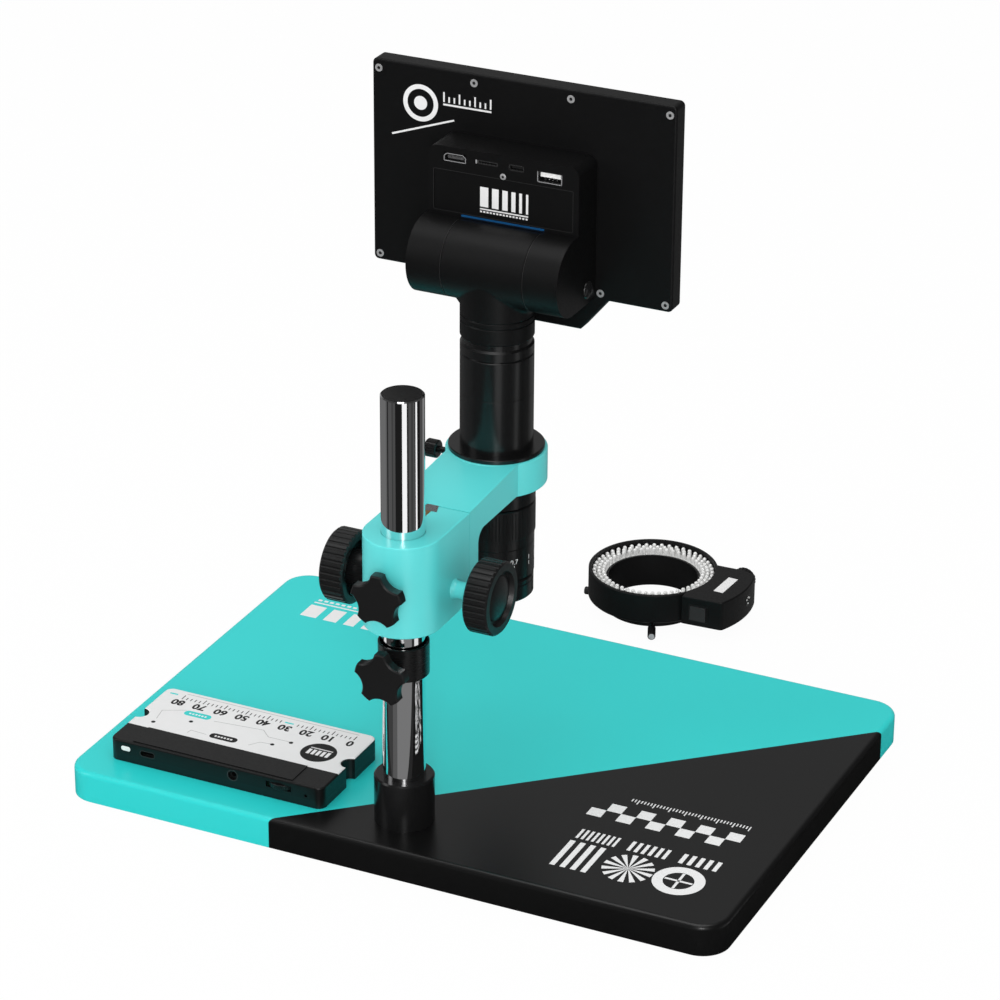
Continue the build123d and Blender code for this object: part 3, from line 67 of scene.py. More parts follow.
# ---- studio ----
# A white floor in a white surround, lit by soft boxes. Dark flags, seen only in
# reflections, keep the black parts black and put dark and bright bands in the chrome.
bpy.context.scene.view_settings.view_transform = "Standard"
floor_half_width = 8.0
floor_level = -0.0002
floor_grey = 0.80
floor_glow_share = 0.97
sky_strength = 0.65


def maths(tree, operation, first, second):
    """One operation on two values, each a number or another node's."""
    step = tree.nodes.new("ShaderNodeMath")
    step.operation = operation
    for socket, value in zip(step.inputs, (first, second)):
        if hasattr(value, "is_linked"):
            tree.links.new(value, socket)
        else:
            socket.default_value = value
    return step.outputs[0]


def seen_white(tree, strength):
    """1 for rays that go straight on, reflect or pass through glass, times a strength."""
    rays = tree.nodes.new("ShaderNodeLightPath").outputs
    straight = maths(tree, "MAXIMUM", rays["Is Camera Ray"], rays["Is Glossy Ray"])
    through = maths(tree, "MAXIMUM", straight, rays["Is Transmission Ray"])
    return maths(tree, "MULTIPLY", through, strength)


def floor_white():
    """Matt white that the lens sees as white and that still takes a shadow."""
    material = bpy.data.materials.new("floor_white")
    material.use_nodes = True
    tree = material.node_tree
    tree.nodes.clear()
    out = tree.nodes.new("ShaderNodeOutputMaterial")
    mix = tree.nodes.new("ShaderNodeMixShader")
    matt = tree.nodes.new("ShaderNodeBsdfDiffuse")
    matt.inputs["Color"].default_value = (floor_grey, floor_grey, floor_grey, 1)
    glow = tree.nodes.new("ShaderNodeEmission")
    glow.inputs["Strength"].default_value = 1.0
    tree.links.new(seen_white(tree, floor_glow_share), mix.inputs["Fac"])
    tree.links.new(matt.outputs[0], mix.inputs[1])
    tree.links.new(glow.outputs[0], mix.inputs[2])
    tree.links.new(mix.outputs[0], out.inputs["Surface"])
    return material


def stage_panel(name, shape, place, material):
    """A panel that isn't part of the object, from a flat bmesh."""
    mesh = bpy.data.meshes.new(name)
    shape.to_mesh(mesh)
    shape.free()
    panel = bpy.data.objects.new(name, mesh)
    panel.location = place
    mesh.materials.append(material)
    bpy.context.scene.collection.objects.link(panel)
    return panel


floor_shape = bmesh.new()
bmesh.ops.create_grid(floor_shape, x_segments=1, y_segments=1, size=floor_half_width)
stage_panel("floor", floor_shape, (0, 0, floor_level), floor_white())

world = bpy.data.worlds.new("surround")
bpy.context.scene.world = world
world.use_nodes = True
sky = world.node_tree
sky.nodes.clear()
sky_out = sky.nodes.new("ShaderNodeOutputWorld")
sky_lit = sky.nodes.new("ShaderNodeBackground")
sky_lit.inputs["Color"].default_value = (1, 1, 1, 1)
sky_lit.inputs["Strength"].default_value = sky_strength
sky_seen = sky.nodes.new("ShaderNodeBackground")
sky_seen.inputs["Color"].default_value = (1, 1, 1, 1)
sky_mix = sky.nodes.new("ShaderNodeMixShader")
sky.links.new(seen_white(sky, 1.0), sky_mix.inputs["Fac"])
sky.links.new(sky_lit.outputs[0], sky_mix.inputs[1])
sky.links.new(sky_seen.outputs[0], sky_mix.inputs[2])
sky.links.new(sky_mix.outputs[0], sky_out.inputs["Surface"])


def remapped(tree, place, setting, amount):
    """Coordinates that are turned or stretched."""
    mapping = tree.nodes.new("ShaderNodeMapping")
    mapping.inputs[setting].default_value = amount
    tree.links.new(place, mapping.inputs["Vector"])
    return mapping.outputs["Vector"]


def flag_cloth(name, bands, turned_by, softness="CONSTANT"):
    """Glowing cloth whose grey changes with the bearing round its own middle."""
    material = bpy.data.materials.new(name)
    material.use_nodes = True
    tree = material.node_tree
    tree.nodes.clear()
    out = tree.nodes.new("ShaderNodeOutputMaterial")
    glow = tree.nodes.new("ShaderNodeEmission")
    place = tree.nodes.new("ShaderNodeTexCoord").outputs["Object"]
    spun = remapped(tree, place, "Rotation", (0, 0, -turned_by))
    bearing = tree.nodes.new("ShaderNodeTexGradient")
    bearing.gradient_type = "RADIAL"
    ramp = tree.nodes.new("ShaderNodeValToRGB")
    stops = ramp.color_ramp.elements
    for index, (angle, grey) in enumerate(bands):
        at = (angle + 180.0) / 360.0
        stop = stops[index] if index < 2 else stops.new(at)
        stop.position = at
        stop.color = (grey, grey, grey, 1)
    ramp.color_ramp.interpolation = softness
    tree.links.new(spun, bearing.inputs["Vector"])
    tree.links.new(bearing.outputs["Color"], ramp.inputs["Fac"])
    tree.links.new(ramp.outputs["Color"], glow.inputs["Color"])
    tree.links.new(glow.outputs[0], out.inputs["Surface"])
    return material


def hang(name, shape, place, cloth):
    """Hangs a piece of glowing cloth that only reflections show."""
    panel = stage_panel(name, shape, place, cloth)
    panel.visible_camera = False
    panel.visible_diffuse = False
    panel.visible_transmission = False
    panel.visible_shadow = False


def round_cloth(radius):
    shape = bmesh.new()
    bmesh.ops.create_circle(shape, cap_ends=True, segments=96, radius=radius)
    return shape


# Bands as (bearing from the camera's side, grey), each running to the next. Each flag
# lies a hair above the one before it, and the first a hair above the floor.
camera_bearing = math.radians(116.9)
tent_radius = 6.0
tent_hem = -0.01
column_foot = (0.002, 0.1103, -0.0001)
floor_bands = (
    (-180, 0.10), (-150, 0.15), (-96, 0.11), (-88, 0.020), (-80, 0.085), (-58, 0.050), (-52, 0.075),
    (-38, 0.012), (-4, 1.00), (20, 0.014), (29, 0.075), (42, 0.050), (56, 0.085), (62, 0.012),
    (68, 1.00), (78, 0.010), (98, 0.070), (122, 0.22), (150, 0.10),
)
hang("floor_flag", round_cloth(tent_radius), column_foot,
     flag_cloth("floor_flag_cloth", floor_bands, camera_bearing))

near_radius = 0.30
near_place = (0.002, 0.1103, -0.00006)
near_bands = (
    (-180, 0.020), (-124, 0.80), (-102, 0.050), (-60, 0.10), (-36, 0.19), (42, 0.030), (55, 0.80),
    (80, 0.020), (120, 0.015),
)
hang("near_flag", round_cloth(near_radius), near_place,
     flag_cloth("near_flag_cloth", near_bands, camera_bearing))

rim_size = (0.51, 0.38, 1, 1)
rim_place = (0, 0, -0.00003)
rim_bands = ((-180, 0.020), (0, 0.022))
rim_shape = bmesh.new()
bmesh.ops.create_grid(rim_shape, x_segments=1, y_segments=1, size=0.5, matrix=Matrix.Diagonal(rim_size))
hang("rim_flag", rim_shape, rim_place, flag_cloth("rim_flag_cloth", rim_bands, 0.0))

tent_bands = (
    (-180, 0.46), (-150, 0.32), (-120, 0.060), (-40, 0.035), (0, 0.28), (40, 0.035), (125, 0.050),
    (152, 0.28),
)
tent_shape = bmesh.new()
bmesh.ops.create_uvsphere(tent_shape, u_segments=48, v_segments=24, radius=tent_radius)
below_hem = [vert for vert in tent_shape.verts if vert.co.z < tent_hem]
bmesh.ops.delete(tent_shape, geom=below_hem, context="VERTS")
hang("dark_tent", tent_shape, column_foot, flag_cloth("tent_cloth", tent_bands, camera_bearing, "LINEAR"))


def soft_box(name, place, aim, size, power):
    """A rectangular soft lamp pointed at a spot on the part."""
    lamp = bpy.data.lights.new(name, "AREA")
    lamp.shape = "RECTANGLE"
    lamp.size, lamp.size_y = size
    lamp.energy = power
    lit = bpy.data.objects.new(name, lamp)
    lit.location = place
    lit.rotation_euler = (Vector(aim) - Vector(place)).to_track_quat("-Z", "Y").to_euler()
    bpy.context.scene.collection.objects.link(lit)


soft_box("top_box", place=(0.1, 0.2, 2.4), aim=(0, 0, 0.1), size=(1.8, 1.8), power=21)
soft_box("camera_box", place=(-0.9, 2.0, 1.0), aim=(0, 0, 0.25), size=(0.35, 1.2), power=18)
soft_box("left_box", place=(1.7, 1.3, 1.2), aim=(0, 0, 0.2), size=(0.8, 1.4), power=9)


# ---- board ----
# A thick cast board with rounded corners. It is powder coated turquoise, and a
# black corner field is masked off along one straight line that runs over its edges.
turquoise = (0.019, 0.596, 0.580)
turquoise_light = (0.024, 0.618, 0.602)
coat_black = (0.0040, 0.0040, 0.0041)
coat_black_light = (0.0052, 0.0052, 0.0053)
split_start = Vector((0.0722, 0.1463))
split_end = Vector((-0.2100, -0.1090))
split_softness = 0.00008


def surface(name):
    """A material with its principled shader and object coordinates at hand."""
    material = bpy.data.materials.new(name)
    material.use_nodes = True
    tree = material.node_tree
    shader = tree.nodes["Principled BSDF"]
    place = tree.nodes.new("ShaderNodeTexCoord")
    return material, tree, shader, place.outputs["Object"]


def noise(tree, place, scale, detail):
    grain = tree.nodes.new("ShaderNodeTexNoise")
    grain.inputs["Scale"].default_value = scale
    grain.inputs["Detail"].default_value = detail
    grain.inputs["Roughness"].default_value = 0.5
    tree.links.new(place, grain.inputs["Vector"])
    return grain.outputs["Fac"]


def spread(tree, value, low, high, start=0.3, end=0.7):
    """A stretch of a value's range, such as a noise's middle, spread between two others."""
    ramp = tree.nodes.new("ShaderNodeMapRange")
    ramp.inputs["From Min"].default_value = start
    ramp.inputs["From Max"].default_value = end
    ramp.inputs["To Min"].default_value = low
    ramp.inputs["To Max"].default_value = high
    tree.links.new(value, ramp.inputs["Value"])
    return ramp.outputs["Result"]


def raise_grain(tree, shader, height, depth, strength):
    bump = tree.nodes.new("ShaderNodeBump")
    bump.inputs["Distance"].default_value = depth
    bump.inputs["Strength"].default_value = strength
    tree.links.new(height, bump.inputs["Height"])
    tree.links.new(bump.outputs["Normal"], shader.inputs["Normal"])


def tinted(tree, value, dark, light):
    """A colour between two, by a 0 to 1 value."""
    mix = tree.nodes.new("ShaderNodeMix")
    mix.data_type = "RGBA"
    tree.links.new(value, mix.inputs["Factor"])
    for socket, colour in ((6, dark), (7, light)):
        if hasattr(colour, "is_linked"):
            tree.links.new(colour, mix.inputs[socket])
        else:
            mix.inputs[socket].default_value = (*colour, 1)
    return mix.outputs[2]


def board_coating():
    material, tree, shader, place = surface("board_coating")
    drift = noise(tree, place, 9, 3)
    colour = tinted(tree, drift, turquoise, turquoise_light)
    black = tinted(tree, drift, coat_black, coat_black_light)
    run = (split_end - split_start).normalized()
    side = tree.nodes.new("ShaderNodeVectorMath")
    side.operation = "DOT_PRODUCT"
    side.inputs[1].default_value = (run.y, -run.x, 0)
    tree.links.new(place, side.inputs[0])
    line = split_start.x * run.y - split_start.y * run.x
    field = spread(tree, side.outputs["Value"], 0, 1, line - split_softness, line + split_softness)
    in_black = maths(tree, "SUBTRACT", 1.0, field)
    tree.links.new(tinted(tree, in_black, black, colour), shader.inputs["Base Color"])
    tree.links.new(spread(tree, noise(tree, place, 40, 2), 0.29, 0.32), shader.inputs["Roughness"])
    shader.inputs["Specular IOR Level"].default_value = 0.40
    return material


def dress(material, *names):
    """Gives CAD nodes their finished material."""
    for name in names:
        slots = nodes[name].data.materials
        for index in range(len(slots)):
            slots[index] = material
        if not slots:
            slots.append(material)


dress(board_coating(), "base_plate")


# ---- feet ----
# Four round pads of moulded black rubber, pressed into the board's underside.
# They keep it off the table and from sliding.
def mottled(name, dark, light, drift, roughness, grain=None, sockets=None):
    """A finish that drifts between two colours. The drift is a noise's (scale, detail),
    the roughness one value or (scale, detail, low, high), the grain (scale, depth, strength)."""
    material, tree, shader, place = surface(name)
    tree.links.new(tinted(tree, noise(tree, place, *drift), dark, light), shader.inputs["Base Color"])
    if isinstance(roughness, tuple):
        scale, detail, low, high = roughness
        sheen = spread(tree, noise(tree, place, scale, detail), low, high)
        tree.links.new(sheen, shader.inputs["Roughness"])
    else:
        shader.inputs["Roughness"].default_value = roughness
    if grain:
        scale, depth, strength = grain
        raise_grain(tree, shader, noise(tree, place, scale, 3), depth, strength)
    for socket, value in (sockets or {}).items():
        shader.inputs[socket].default_value = value
    return material


rubber = mottled("foot_rubber", dark=(0.012, 0.012, 0.012), light=(0.022, 0.022, 0.022), drift=(300, 4),
                 roughness=0.85, grain=(1800, 0.00008, 0.5))
dress(rubber, "base_feet")


# ---- board prints ----
# Two screen prints in white ink on the coating: a plain focus chart on the black
# field, and a smaller row of bars that get wider. Both read from the front.
mm = 0.001
ink_film = 0.04
upward = ((1, 0, 0), (0, 1, 0))
board_face = ((0, 0, 19.2), *upward)


def ink_box(shape, low, high):
    """A filled rectangle between two corners, in millimetres on the print."""
    middle = Matrix.Translation(((low[0] + high[0]) / 2, (low[1] + high[1]) / 2, 0))
    size = Matrix.Diagonal((high[0] - low[0], high[1] - low[1], 1, 1))
    bmesh.ops.create_grid(shape, x_segments=1, y_segments=1, size=0.5, matrix=middle @ size)


def ink_line(shape, start, end, width):
    """A straight stroke between two points."""
    start, end = Vector((*start, 0)), Vector((*end, 0))
    run = end - start
    lie = Matrix.Translation((start + end) / 2) @ Matrix.Rotation(math.atan2(run.y, run.x), 4, "Z")
    size = Matrix.Diagonal((run.length, width, 1, 1))
    bmesh.ops.create_grid(shape, x_segments=1, y_segments=1, size=0.5, matrix=lie @ size)


def ink_disc(shape, centre, radius, sides=32):
    bmesh.ops.create_circle(shape, cap_ends=True, segments=sides, radius=radius,
                            matrix=Matrix.Translation((*centre, 0)))


def ink_ring(shape, centre, inner, outer, sides=64):
    edges = []
    for radius in (inner, outer):
        loop = bmesh.ops.create_circle(shape, segments=sides, radius=radius,
                                       matrix=Matrix.Translation((*centre, 0)))["verts"]
        edges += list({edge for vert in loop for edge in vert.link_edges})
    bmesh.ops.bridge_loops(shape, edges=edges)


def ink_star(shape, centre, radius, wedges):
    """Wedges that meet in the middle, as on a focus chart."""
    fan = bmesh.ops.create_circle(shape, cap_ends=True, cap_tris=True, segments=wedges * 2, radius=radius,
                                  matrix=Matrix.Translation((*centre, 0)))["verts"]
    faces = sorted({face for vert in fan for face in vert.link_faces},
                   key=lambda face: math.atan2(face.calc_center_median().y - centre[1],
                                               face.calc_center_median().x - centre[0]))
    bmesh.ops.delete(shape, geom=faces[::2], context="FACES")


def ink_pill(shape, low, high, corner):
    """A rectangle with rounded corners."""
    before = set(shape.verts)
    ink_box(shape, low, high)
    corners = [vert for vert in shape.verts if vert not in before]
    bmesh.ops.bevel(shape, geom=corners, offset=corner, affect="VERTICES", segments=6, profile=0.5,
                    material=-1)


def ink_row(shape, left, low, width, height, pitch, count):
    """Equal bars or dots side by side."""
    for index in range(count):
        start = left + index * pitch
        ink_box(shape, (start, low), (start + width, low + height))


def ink_scale(shape, left, foot, width, pitch, count, tall, short, every):
    """The marks of a ruler, with a taller one every few."""
    for index in range(count):
        start = left + index * pitch
        rise = tall if index % every == 0 else short
        ink_box(shape, (start, foot), (start + width, foot + rise))


def thickened(shape, film):
    """Gives a flat print the thickness of its ink."""
    layer = bmesh.ops.extrude_face_region(shape, geom=shape.faces[:], use_keep_orig=True)["geom"]
    lifted = [item for item in layer if isinstance(item, bmesh.types.BMVert)]
    bmesh.ops.translate(shape, vec=(0, 0, film), verts=lifted)


def finished(name, shape, material, body):
    """Turns a bmesh, in metres and in its place, into a piece of the part."""
    bmesh.ops.recalc_face_normals(shape, faces=shape.faces)
    mesh = bpy.data.meshes.new(name)
    shape.to_mesh(mesh)
    shape.free()
    mesh.materials.append(material)
    piece = bpy.data.objects.new(name, mesh)
    bpy.context.scene.collection.objects.link(piece)
    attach(piece, body)


def print_on(name, shape, face, ink, body, film=ink_film):
    """Lays a print, drawn in millimetres, as a thin film of ink on a flat face that is
    given as its origin, the print's right and the print's up."""
    origin, right, up = (Vector(part) for part in face)
    thickened(shape, film)
    lie = Matrix((right, up, right.cross(up))).transposed().to_4x4()
    bmesh.ops.transform(shape, matrix=Matrix.Translation(origin * mm) @ Matrix.Scale(mm, 4) @ lie,
                        verts=shape.verts)
    finished(name, shape, ink, body)


def screen_ink(name, shade):
    light = tuple(min(part * 1.06, 0.9) for part in shade)
    return mottled(name, shade, light, drift=(700, 3), roughness=(400, 2, 0.42, 0.55),
                   sockets={"Specular IOR Level": 0.3})


white_ink = screen_ink("white_ink", (0.74, 0.74, 0.74))

chart_left = -183.5
target = (-168.5, 106.0)
target_bore, target_rim, cross_reach, cross_width = 9.0, 15.2, 8.5, 1.6
star_centre, star_wedges = (-137.5, 106.0), 14
square, square_pitch, square_low = 8.8, 9.3, 42.6
group_width, group_pitch = 26.0, 31.5
chart = bmesh.new()
ink_ring(chart, target, target_bore, target_rim)
ink_line(chart, (target[0], target[1] - cross_reach), (target[0], target[1] + cross_reach), cross_width)
ink_line(chart, (target[0] - cross_reach, target[1]), (target[0] + cross_reach, target[1]), cross_width)
ink_star(chart, star_centre, target_rim, star_wedges)
ink_row(chart, left=-117.5, low=91.2, width=3.3, height=29.6, pitch=6.4, count=4)
for group, bars in enumerate((5, 6, 8)):
    pitch = group_width / bars
    ink_row(chart, left=chart_left + group * group_pitch, low=76.8, width=pitch / 2, height=10.8,
            pitch=pitch, count=bars)
for index in range(10):
    low = square_low + (square if index % 2 else 0)
    left = chart_left + index * square_pitch
    ink_box(chart, (left, low), (left + square_pitch, low + square))
ink_scale(chart, left=-183.0, foot=32.2, width=0.75, pitch=2.0, count=38, tall=5.0, short=3.0, every=5)
print_on("focus_chart", chart, board_face, white_ink, "stand")

arm_left, arm_right = 112.0, 178.0
arm_bars = ((arm_left, 2.6), (119.8, 3.9), (128.9, 5.7), (139.8, 7.4), (152.4, 9.2), (166.8, 11.2))
arm_print = bmesh.new()
for left, width in arm_bars:
    ink_box(arm_print, (left, -106.5), (left + width, -90.5))
ink_box(arm_print, (arm_left, -111.0), (arm_right, -109.6))
ink_row(arm_print, left=arm_left, low=-115.2, width=2.6, height=2.2, pitch=4.15, count=16)
print_on("arm_print", arm_print, board_face, white_ink, "stand")


# ---- column ----
# A steel tube, ground and bright chromed, with a flush black plug in its top. It
# stands in a turned black socket that is let into the board and held by three screws.
def bright_chrome():
    material, tree, shader, place = surface("bright_chrome")
    shader.inputs["Base Color"].default_value = (0.90, 0.90, 0.91, 1)
    shader.inputs["Metallic"].default_value = 1.0
    rings = noise(tree, remapped(tree, place, "Scale", (1, 1, 30)), 60, 3)
    tree.links.new(spread(tree, rings, 0.030, 0.055), shader.inputs["Roughness"])
    return material


def turned_black(name, shade, low, high):
    """Black anodised aluminium with faint lathe rings around an upright axis."""
    material, tree, shader, place = surface(name)
    drift = noise(tree, place, 40, 3)
    light = tuple(part * 1.35 for part in shade)
    tree.links.new(tinted(tree, drift, shade, light), shader.inputs["Base Color"])
    lathe = noise(tree, remapped(tree, place, "Scale", (0.02, 0.02, 1)), 1500, 2)
    tree.links.new(spread(tree, lathe, low, high), shader.inputs["Roughness"])
    shader.inputs["Specular IOR Level"].default_value = 0.42
    raise_grain(tree, shader, lathe, 0.000003, 0.1)
    return material


def moulded_black(name, shade, roughness, grain, gloss):
    """Black moulded plastic with a fine spark-eroded grain, given as (scale, depth)."""
    light = tuple(part * 1.4 for part in shade)
    return mottled(name, shade, light, drift=(25, 3), roughness=(700, 2, *roughness), grain=(*grain, 0.4),
                   sockets={"Specular IOR Level": gloss})


def worn_metal(name, dark, light, wear, roughness):
    return mottled(name, dark, light, drift=wear, roughness=roughness, sockets={"Metallic": 1.0})


dress(bright_chrome(), "post_tube")
dress(turned_black("socket_anodised", (0.0060, 0.0060, 0.0062), 0.22, 0.25), "post_socket")
knob_black = moulded_black(
    "knob_moulding", (0.0060, 0.0060, 0.0062), roughness=(0.30, 0.40), grain=(2400, 0.00002), gloss=0.45)
dress(knob_black, "post_cap")
dark_steel = worn_metal("oiled_steel", (0.30, 0.30, 0.31), (0.48, 0.48, 0.49), wear=(160, 4),
                        roughness=(900, 2, 0.24, 0.40))
dress(dark_steel, "socket_screws")


# ---- safety collar ----
# A turned black ring on the column under the head, so that the head can't drop. A
# moulded star knob on a steel stud clamps it.
anodised = turned_black("black_anodised", (0.0048, 0.0048, 0.0050), 0.26, 0.30)
dress(anodised, "safety_collar")
dress(knob_black, "collar_star_knob")
dress(dark_steel, "collar_stud")


# ---- focus head and arm ----
# Two zinc castings in the board's turquoise, but glossier and a little brighter: the
# block that rides the column on a bronze sleeve, and the arm whose ring takes the
# lens. A steel dovetail, a bronze rack and a pinion in bronze bushes join them.
paint = mottled("casting_paint", dark=(0.098, 0.690, 0.688), light=(0.106, 0.706, 0.704), drift=(18, 3),
                roughness=(60, 2, 0.36, 0.39), sockets={"Coat Weight": 0.40, "Coat Roughness": 0.27})
dress(paint, "focus_block", "focus_arm")
bronze = worn_metal("turned_bronze", (0.50, 0.28, 0.10), (0.66, 0.42, 0.18), wear=(120, 4),
                    roughness=(700, 2, 0.25, 0.42))
dress(bronze, "column_sleeve", "pinion_bushes", "rack")
dress(dark_steel, "clamp_stud", "pinion_shaft", "dovetail_rail", "rail_screws")
dress(knob_black, "clamp_star_knob", "left_focus_knob", "right_focus_knob")
dress(anodised, "tension_collar")


# ---- column wiper ----
# A thin painted lip that closes the bore round the column, so that the head's top
# face runs up to the chrome.
def lip_ring(shape, centre, inner, outer, low, high, sides=96):
    """A closed ring with a square section round an upright axis, in millimetres."""
    rings = []
    for radius, level in ((inner, high), (outer, high), (outer, low), (inner, low)):
        middle = Matrix.Translation((centre[0] * mm, centre[1] * mm, level * mm))
        loop = bmesh.ops.create_circle(shape, segments=sides, radius=radius * mm, matrix=middle)
        rings.append(list({edge for vert in loop["verts"] for edge in vert.link_edges}))
    for first, second in zip(rings, rings[1:] + rings[:1]):
        bmesh.ops.bridge_loops(shape, edges=first + second)


wiper = bmesh.new()
lip_ring(wiper, centre=(2.0, 110.3), inner=12.62, outer=13.6, low=201.4, high=203.56)
finished("column_wiper", wiper, paint, "focus_head")


# ---- knob caps ----
# Each ribbed focus knob has a smooth, slightly domed cap of the same black plastic.
# It is pressed into the dish of the knob's outer face.
def dome(shape, centre, radii):
    """A low dome: an ellipsoid that stands half in its face, in millimetres."""
    lie = Matrix.Translation(Vector(centre) * mm) @ Matrix.Diagonal((*(Vector(radii) * mm), 1))
    bmesh.ops.create_uvsphere(shape, u_segments=48, v_segments=24, radius=1.0, matrix=lie)
    for face in shape.faces:
        face.smooth = True


for name, x in (("left_knob_cap", 52.2), ("right_knob_cap", -48.2)):
    cap = bmesh.new()
    dome(cap, centre=(x, 92.0, 164.4), radii=(2.3, 13.6, 13.6))
    finished(name, cap, knob_black, "focus_drive")


# ---- lens ----
# A black anodised zoom lens in the arm's ring: flange and upper tube above, knurled
# zoom ring, scale barrel and front ring below. A knurled screw holds it in the ring.
lens_black = turned_black("lens_anodised", (0.0050, 0.0050, 0.0052), 0.22, 0.26)
dress(lens_black, "lens_mount", "upper_tube", "camera_adapter", "objective_ring", "zoom_ring", "scale_ring",
      "zoom_cell", "ring_thumb_screw")


def coated_glass():
    material, tree, shader, place = surface("coated_glass")
    shader.inputs["Base Color"].default_value = (0.93, 0.96, 1.0, 1)
    shader.inputs["Transmission Weight"].default_value = 1.0
    shader.inputs["IOR"].default_value = 1.52
    tree.links.new(spread(tree, noise(tree, place, 60, 2), 0.01, 0.03), shader.inputs["Roughness"])
    shader.inputs["Coat Weight"].default_value = 0.6
    shader.inputs["Coat Tint"].default_value = (0.55, 0.45, 0.95, 1)
    return material


dress(coated_glass(), "objective_glass", "zoom_cell_glass")


# ---- zoom scale ----
# Plain figures of the magnification round the scale barrel, each over a short index
# mark. They are engraved and filled with white ink.
lens_axis = Vector((0.002, -0.0108))
barrel_radius = 22.7
first_bearing = 143.9
figure_height = 4.3
figure_level = 138.8
mark_low, mark_high = (-0.2, -3.4), (0.2, -1.0)
zoom_steps = (("0.7", 0), ("1", 30), ("1.5", 56), ("2", 78), ("3", 104), ("4.5", 140))


def wrapped(shape, radius, bearing, height):
    """Bends a flat print, drawn in millimetres, round the upright lens barrel."""
    for vert in shape.verts:
        angle = math.radians(bearing) + vert.co.x / radius
        reach = (radius + vert.co.z) * mm
        vert.co = Vector((lens_axis.x + reach * math.cos(angle), lens_axis.y + reach * math.sin(angle),
                          (height + vert.co.y) * mm))


def ink_number(shape, text, place, height, heavy=0.0):
    """A number in millimetres, its middle over a place on the print's plane."""
    curve = bpy.data.curves.new("number", "FONT")
    curve.body = text
    curve.size = height
    curve.align_x = "CENTER"
    curve.resolution_u = 3
    curve.offset = heavy
    holder = bpy.data.objects.new("number", curve)
    bpy.context.scene.collection.objects.link(holder)
    mesh = bpy.data.meshes.new_from_object(holder)
    bpy.data.objects.remove(holder)
    mesh.transform(Matrix.Translation((*place, 0)))
    shape.from_mesh(mesh)
    bpy.data.meshes.remove(mesh)


for index, (text, turned_on) in enumerate(zoom_steps):
    figure = bmesh.new()
    ink_number(figure, text, (0, 0), figure_height)
    ink_box(figure, mark_low, mark_high)
    thickened(figure, ink_film)
    wrapped(figure, barrel_radius, first_bearing + turned_on, figure_level)
    finished(f"zoom_figure_{index}", figure, white_ink, "zoom")


# ---- camera head ----
# A black moulded housing screwed onto the lens, with a barrel across its top. Inside
# are the sensor and its board, and steel pins in the barrel's ends carry the display.
def circuit_board(name, parts_above):
    """Green lacquered board, with black sockets above a level."""
    material, tree, shader, place = surface(name)
    drift = noise(tree, place, 450, 4)
    green = tinted(tree, drift, (0.010, 0.080, 0.035), (0.020, 0.140, 0.060))
    black = tinted(tree, drift, (0.006, 0.006, 0.006), (0.010, 0.010, 0.010))
    levels = tree.nodes.new("ShaderNodeSeparateXYZ")
    tree.links.new(place, levels.inputs[0])
    above = maths(tree, "GREATER_THAN", levels.outputs["Z"], parts_above)
    tree.links.new(tinted(tree, above, green, black), shader.inputs["Base Color"])
    shader.inputs["Roughness"].default_value = 0.35
    return material


shell_black = moulded_black(
    "shell_satin", (0.0030, 0.0030, 0.0032), roughness=(0.40, 0.48), grain=(3000, 0.00001), gloss=0.24)
no_sockets_above = 1.0
plain_board = circuit_board("circuit_board", no_sockets_above)
dark_screen = mottled("dark_screen", (0.004, 0.004, 0.006), (0.007, 0.007, 0.010), drift=(12, 2),
                      roughness=(90, 2, 0.04, 0.07), sockets={"Coat Weight": 0.5})
dress(shell_black, "camera_housing")
dress(plain_board, "sensor_board")
dress(dark_screen, "image_sensor")
dress(dark_steel, "hinge_axle")


# ---- barrel seam highlights ----
# Two thin rings of lighter grey on the ends of the camera's barrel. They fill part of the
# gap to the display's ears and are painted highlights where the edges of the gap catch light.
barrel_axis = (-10.8, 320.0)
highlight_bore, highlight_rim, highlight_thickness = 22.2, 22.86, 0.18
seams = bmesh.new()
for end, low in ((27.8, 0.02), (-23.8, -0.20)):
    seam = bmesh.new()
    lip_ring(seam, (0, 0), highlight_bore, highlight_rim, low, low + highlight_thickness)
    lie = Matrix.Translation(Vector((end, *barrel_axis)) * mm) @ Matrix.Rotation(math.pi / 2, 4, "Y")
    bmesh.ops.transform(seam, matrix=lie, verts=seam.verts)
    band = bpy.data.meshes.new("seam")
    seam.to_mesh(band)
    seam.free()
    seams.from_mesh(band)
    bpy.data.meshes.remove(band)
# A grey lighter than the shells: painted highlight on the edges of the gaps.
seam_highlight = moulded_black(
    "seam_highlight", (0.0260, 0.0260, 0.0265), roughness=(0.30, 0.36), grain=(2200, 0.00001), gloss=0.50)
finished("barrel_seam_highlights", seams, seam_highlight, "lens")


# ---- display ----
# A liquid crystal panel behind glass in a satin black case that shares the camera's
# finish. Its cover has two ears, which tilt on the barrel, and a pod for the sockets
# with a plain plate and a blue light bar. Eight screws hold the cover.
dress(shell_black, "display_rear_cover", "display_bezel", "pod_plate", "power_key", "menu_key", "select_key")
dress(plain_board, "main_board")
dress(dark_screen, "cover_glass", "lcd_panel")
plating = worn_metal("plated_sheet", (0.62, 0.62, 0.63), (0.78, 0.78, 0.79), wear=(420, 3),
                     roughness=(900, 2, 0.18, 0.30))
dress(plating, "port_shells", "cover_screws")
blue_bar = mottled("blue_bar", (0.005, 0.055, 0.160), (0.008, 0.085, 0.230), drift=(90, 2), roughness=0.25)
dress(blue_bar, "status_light")


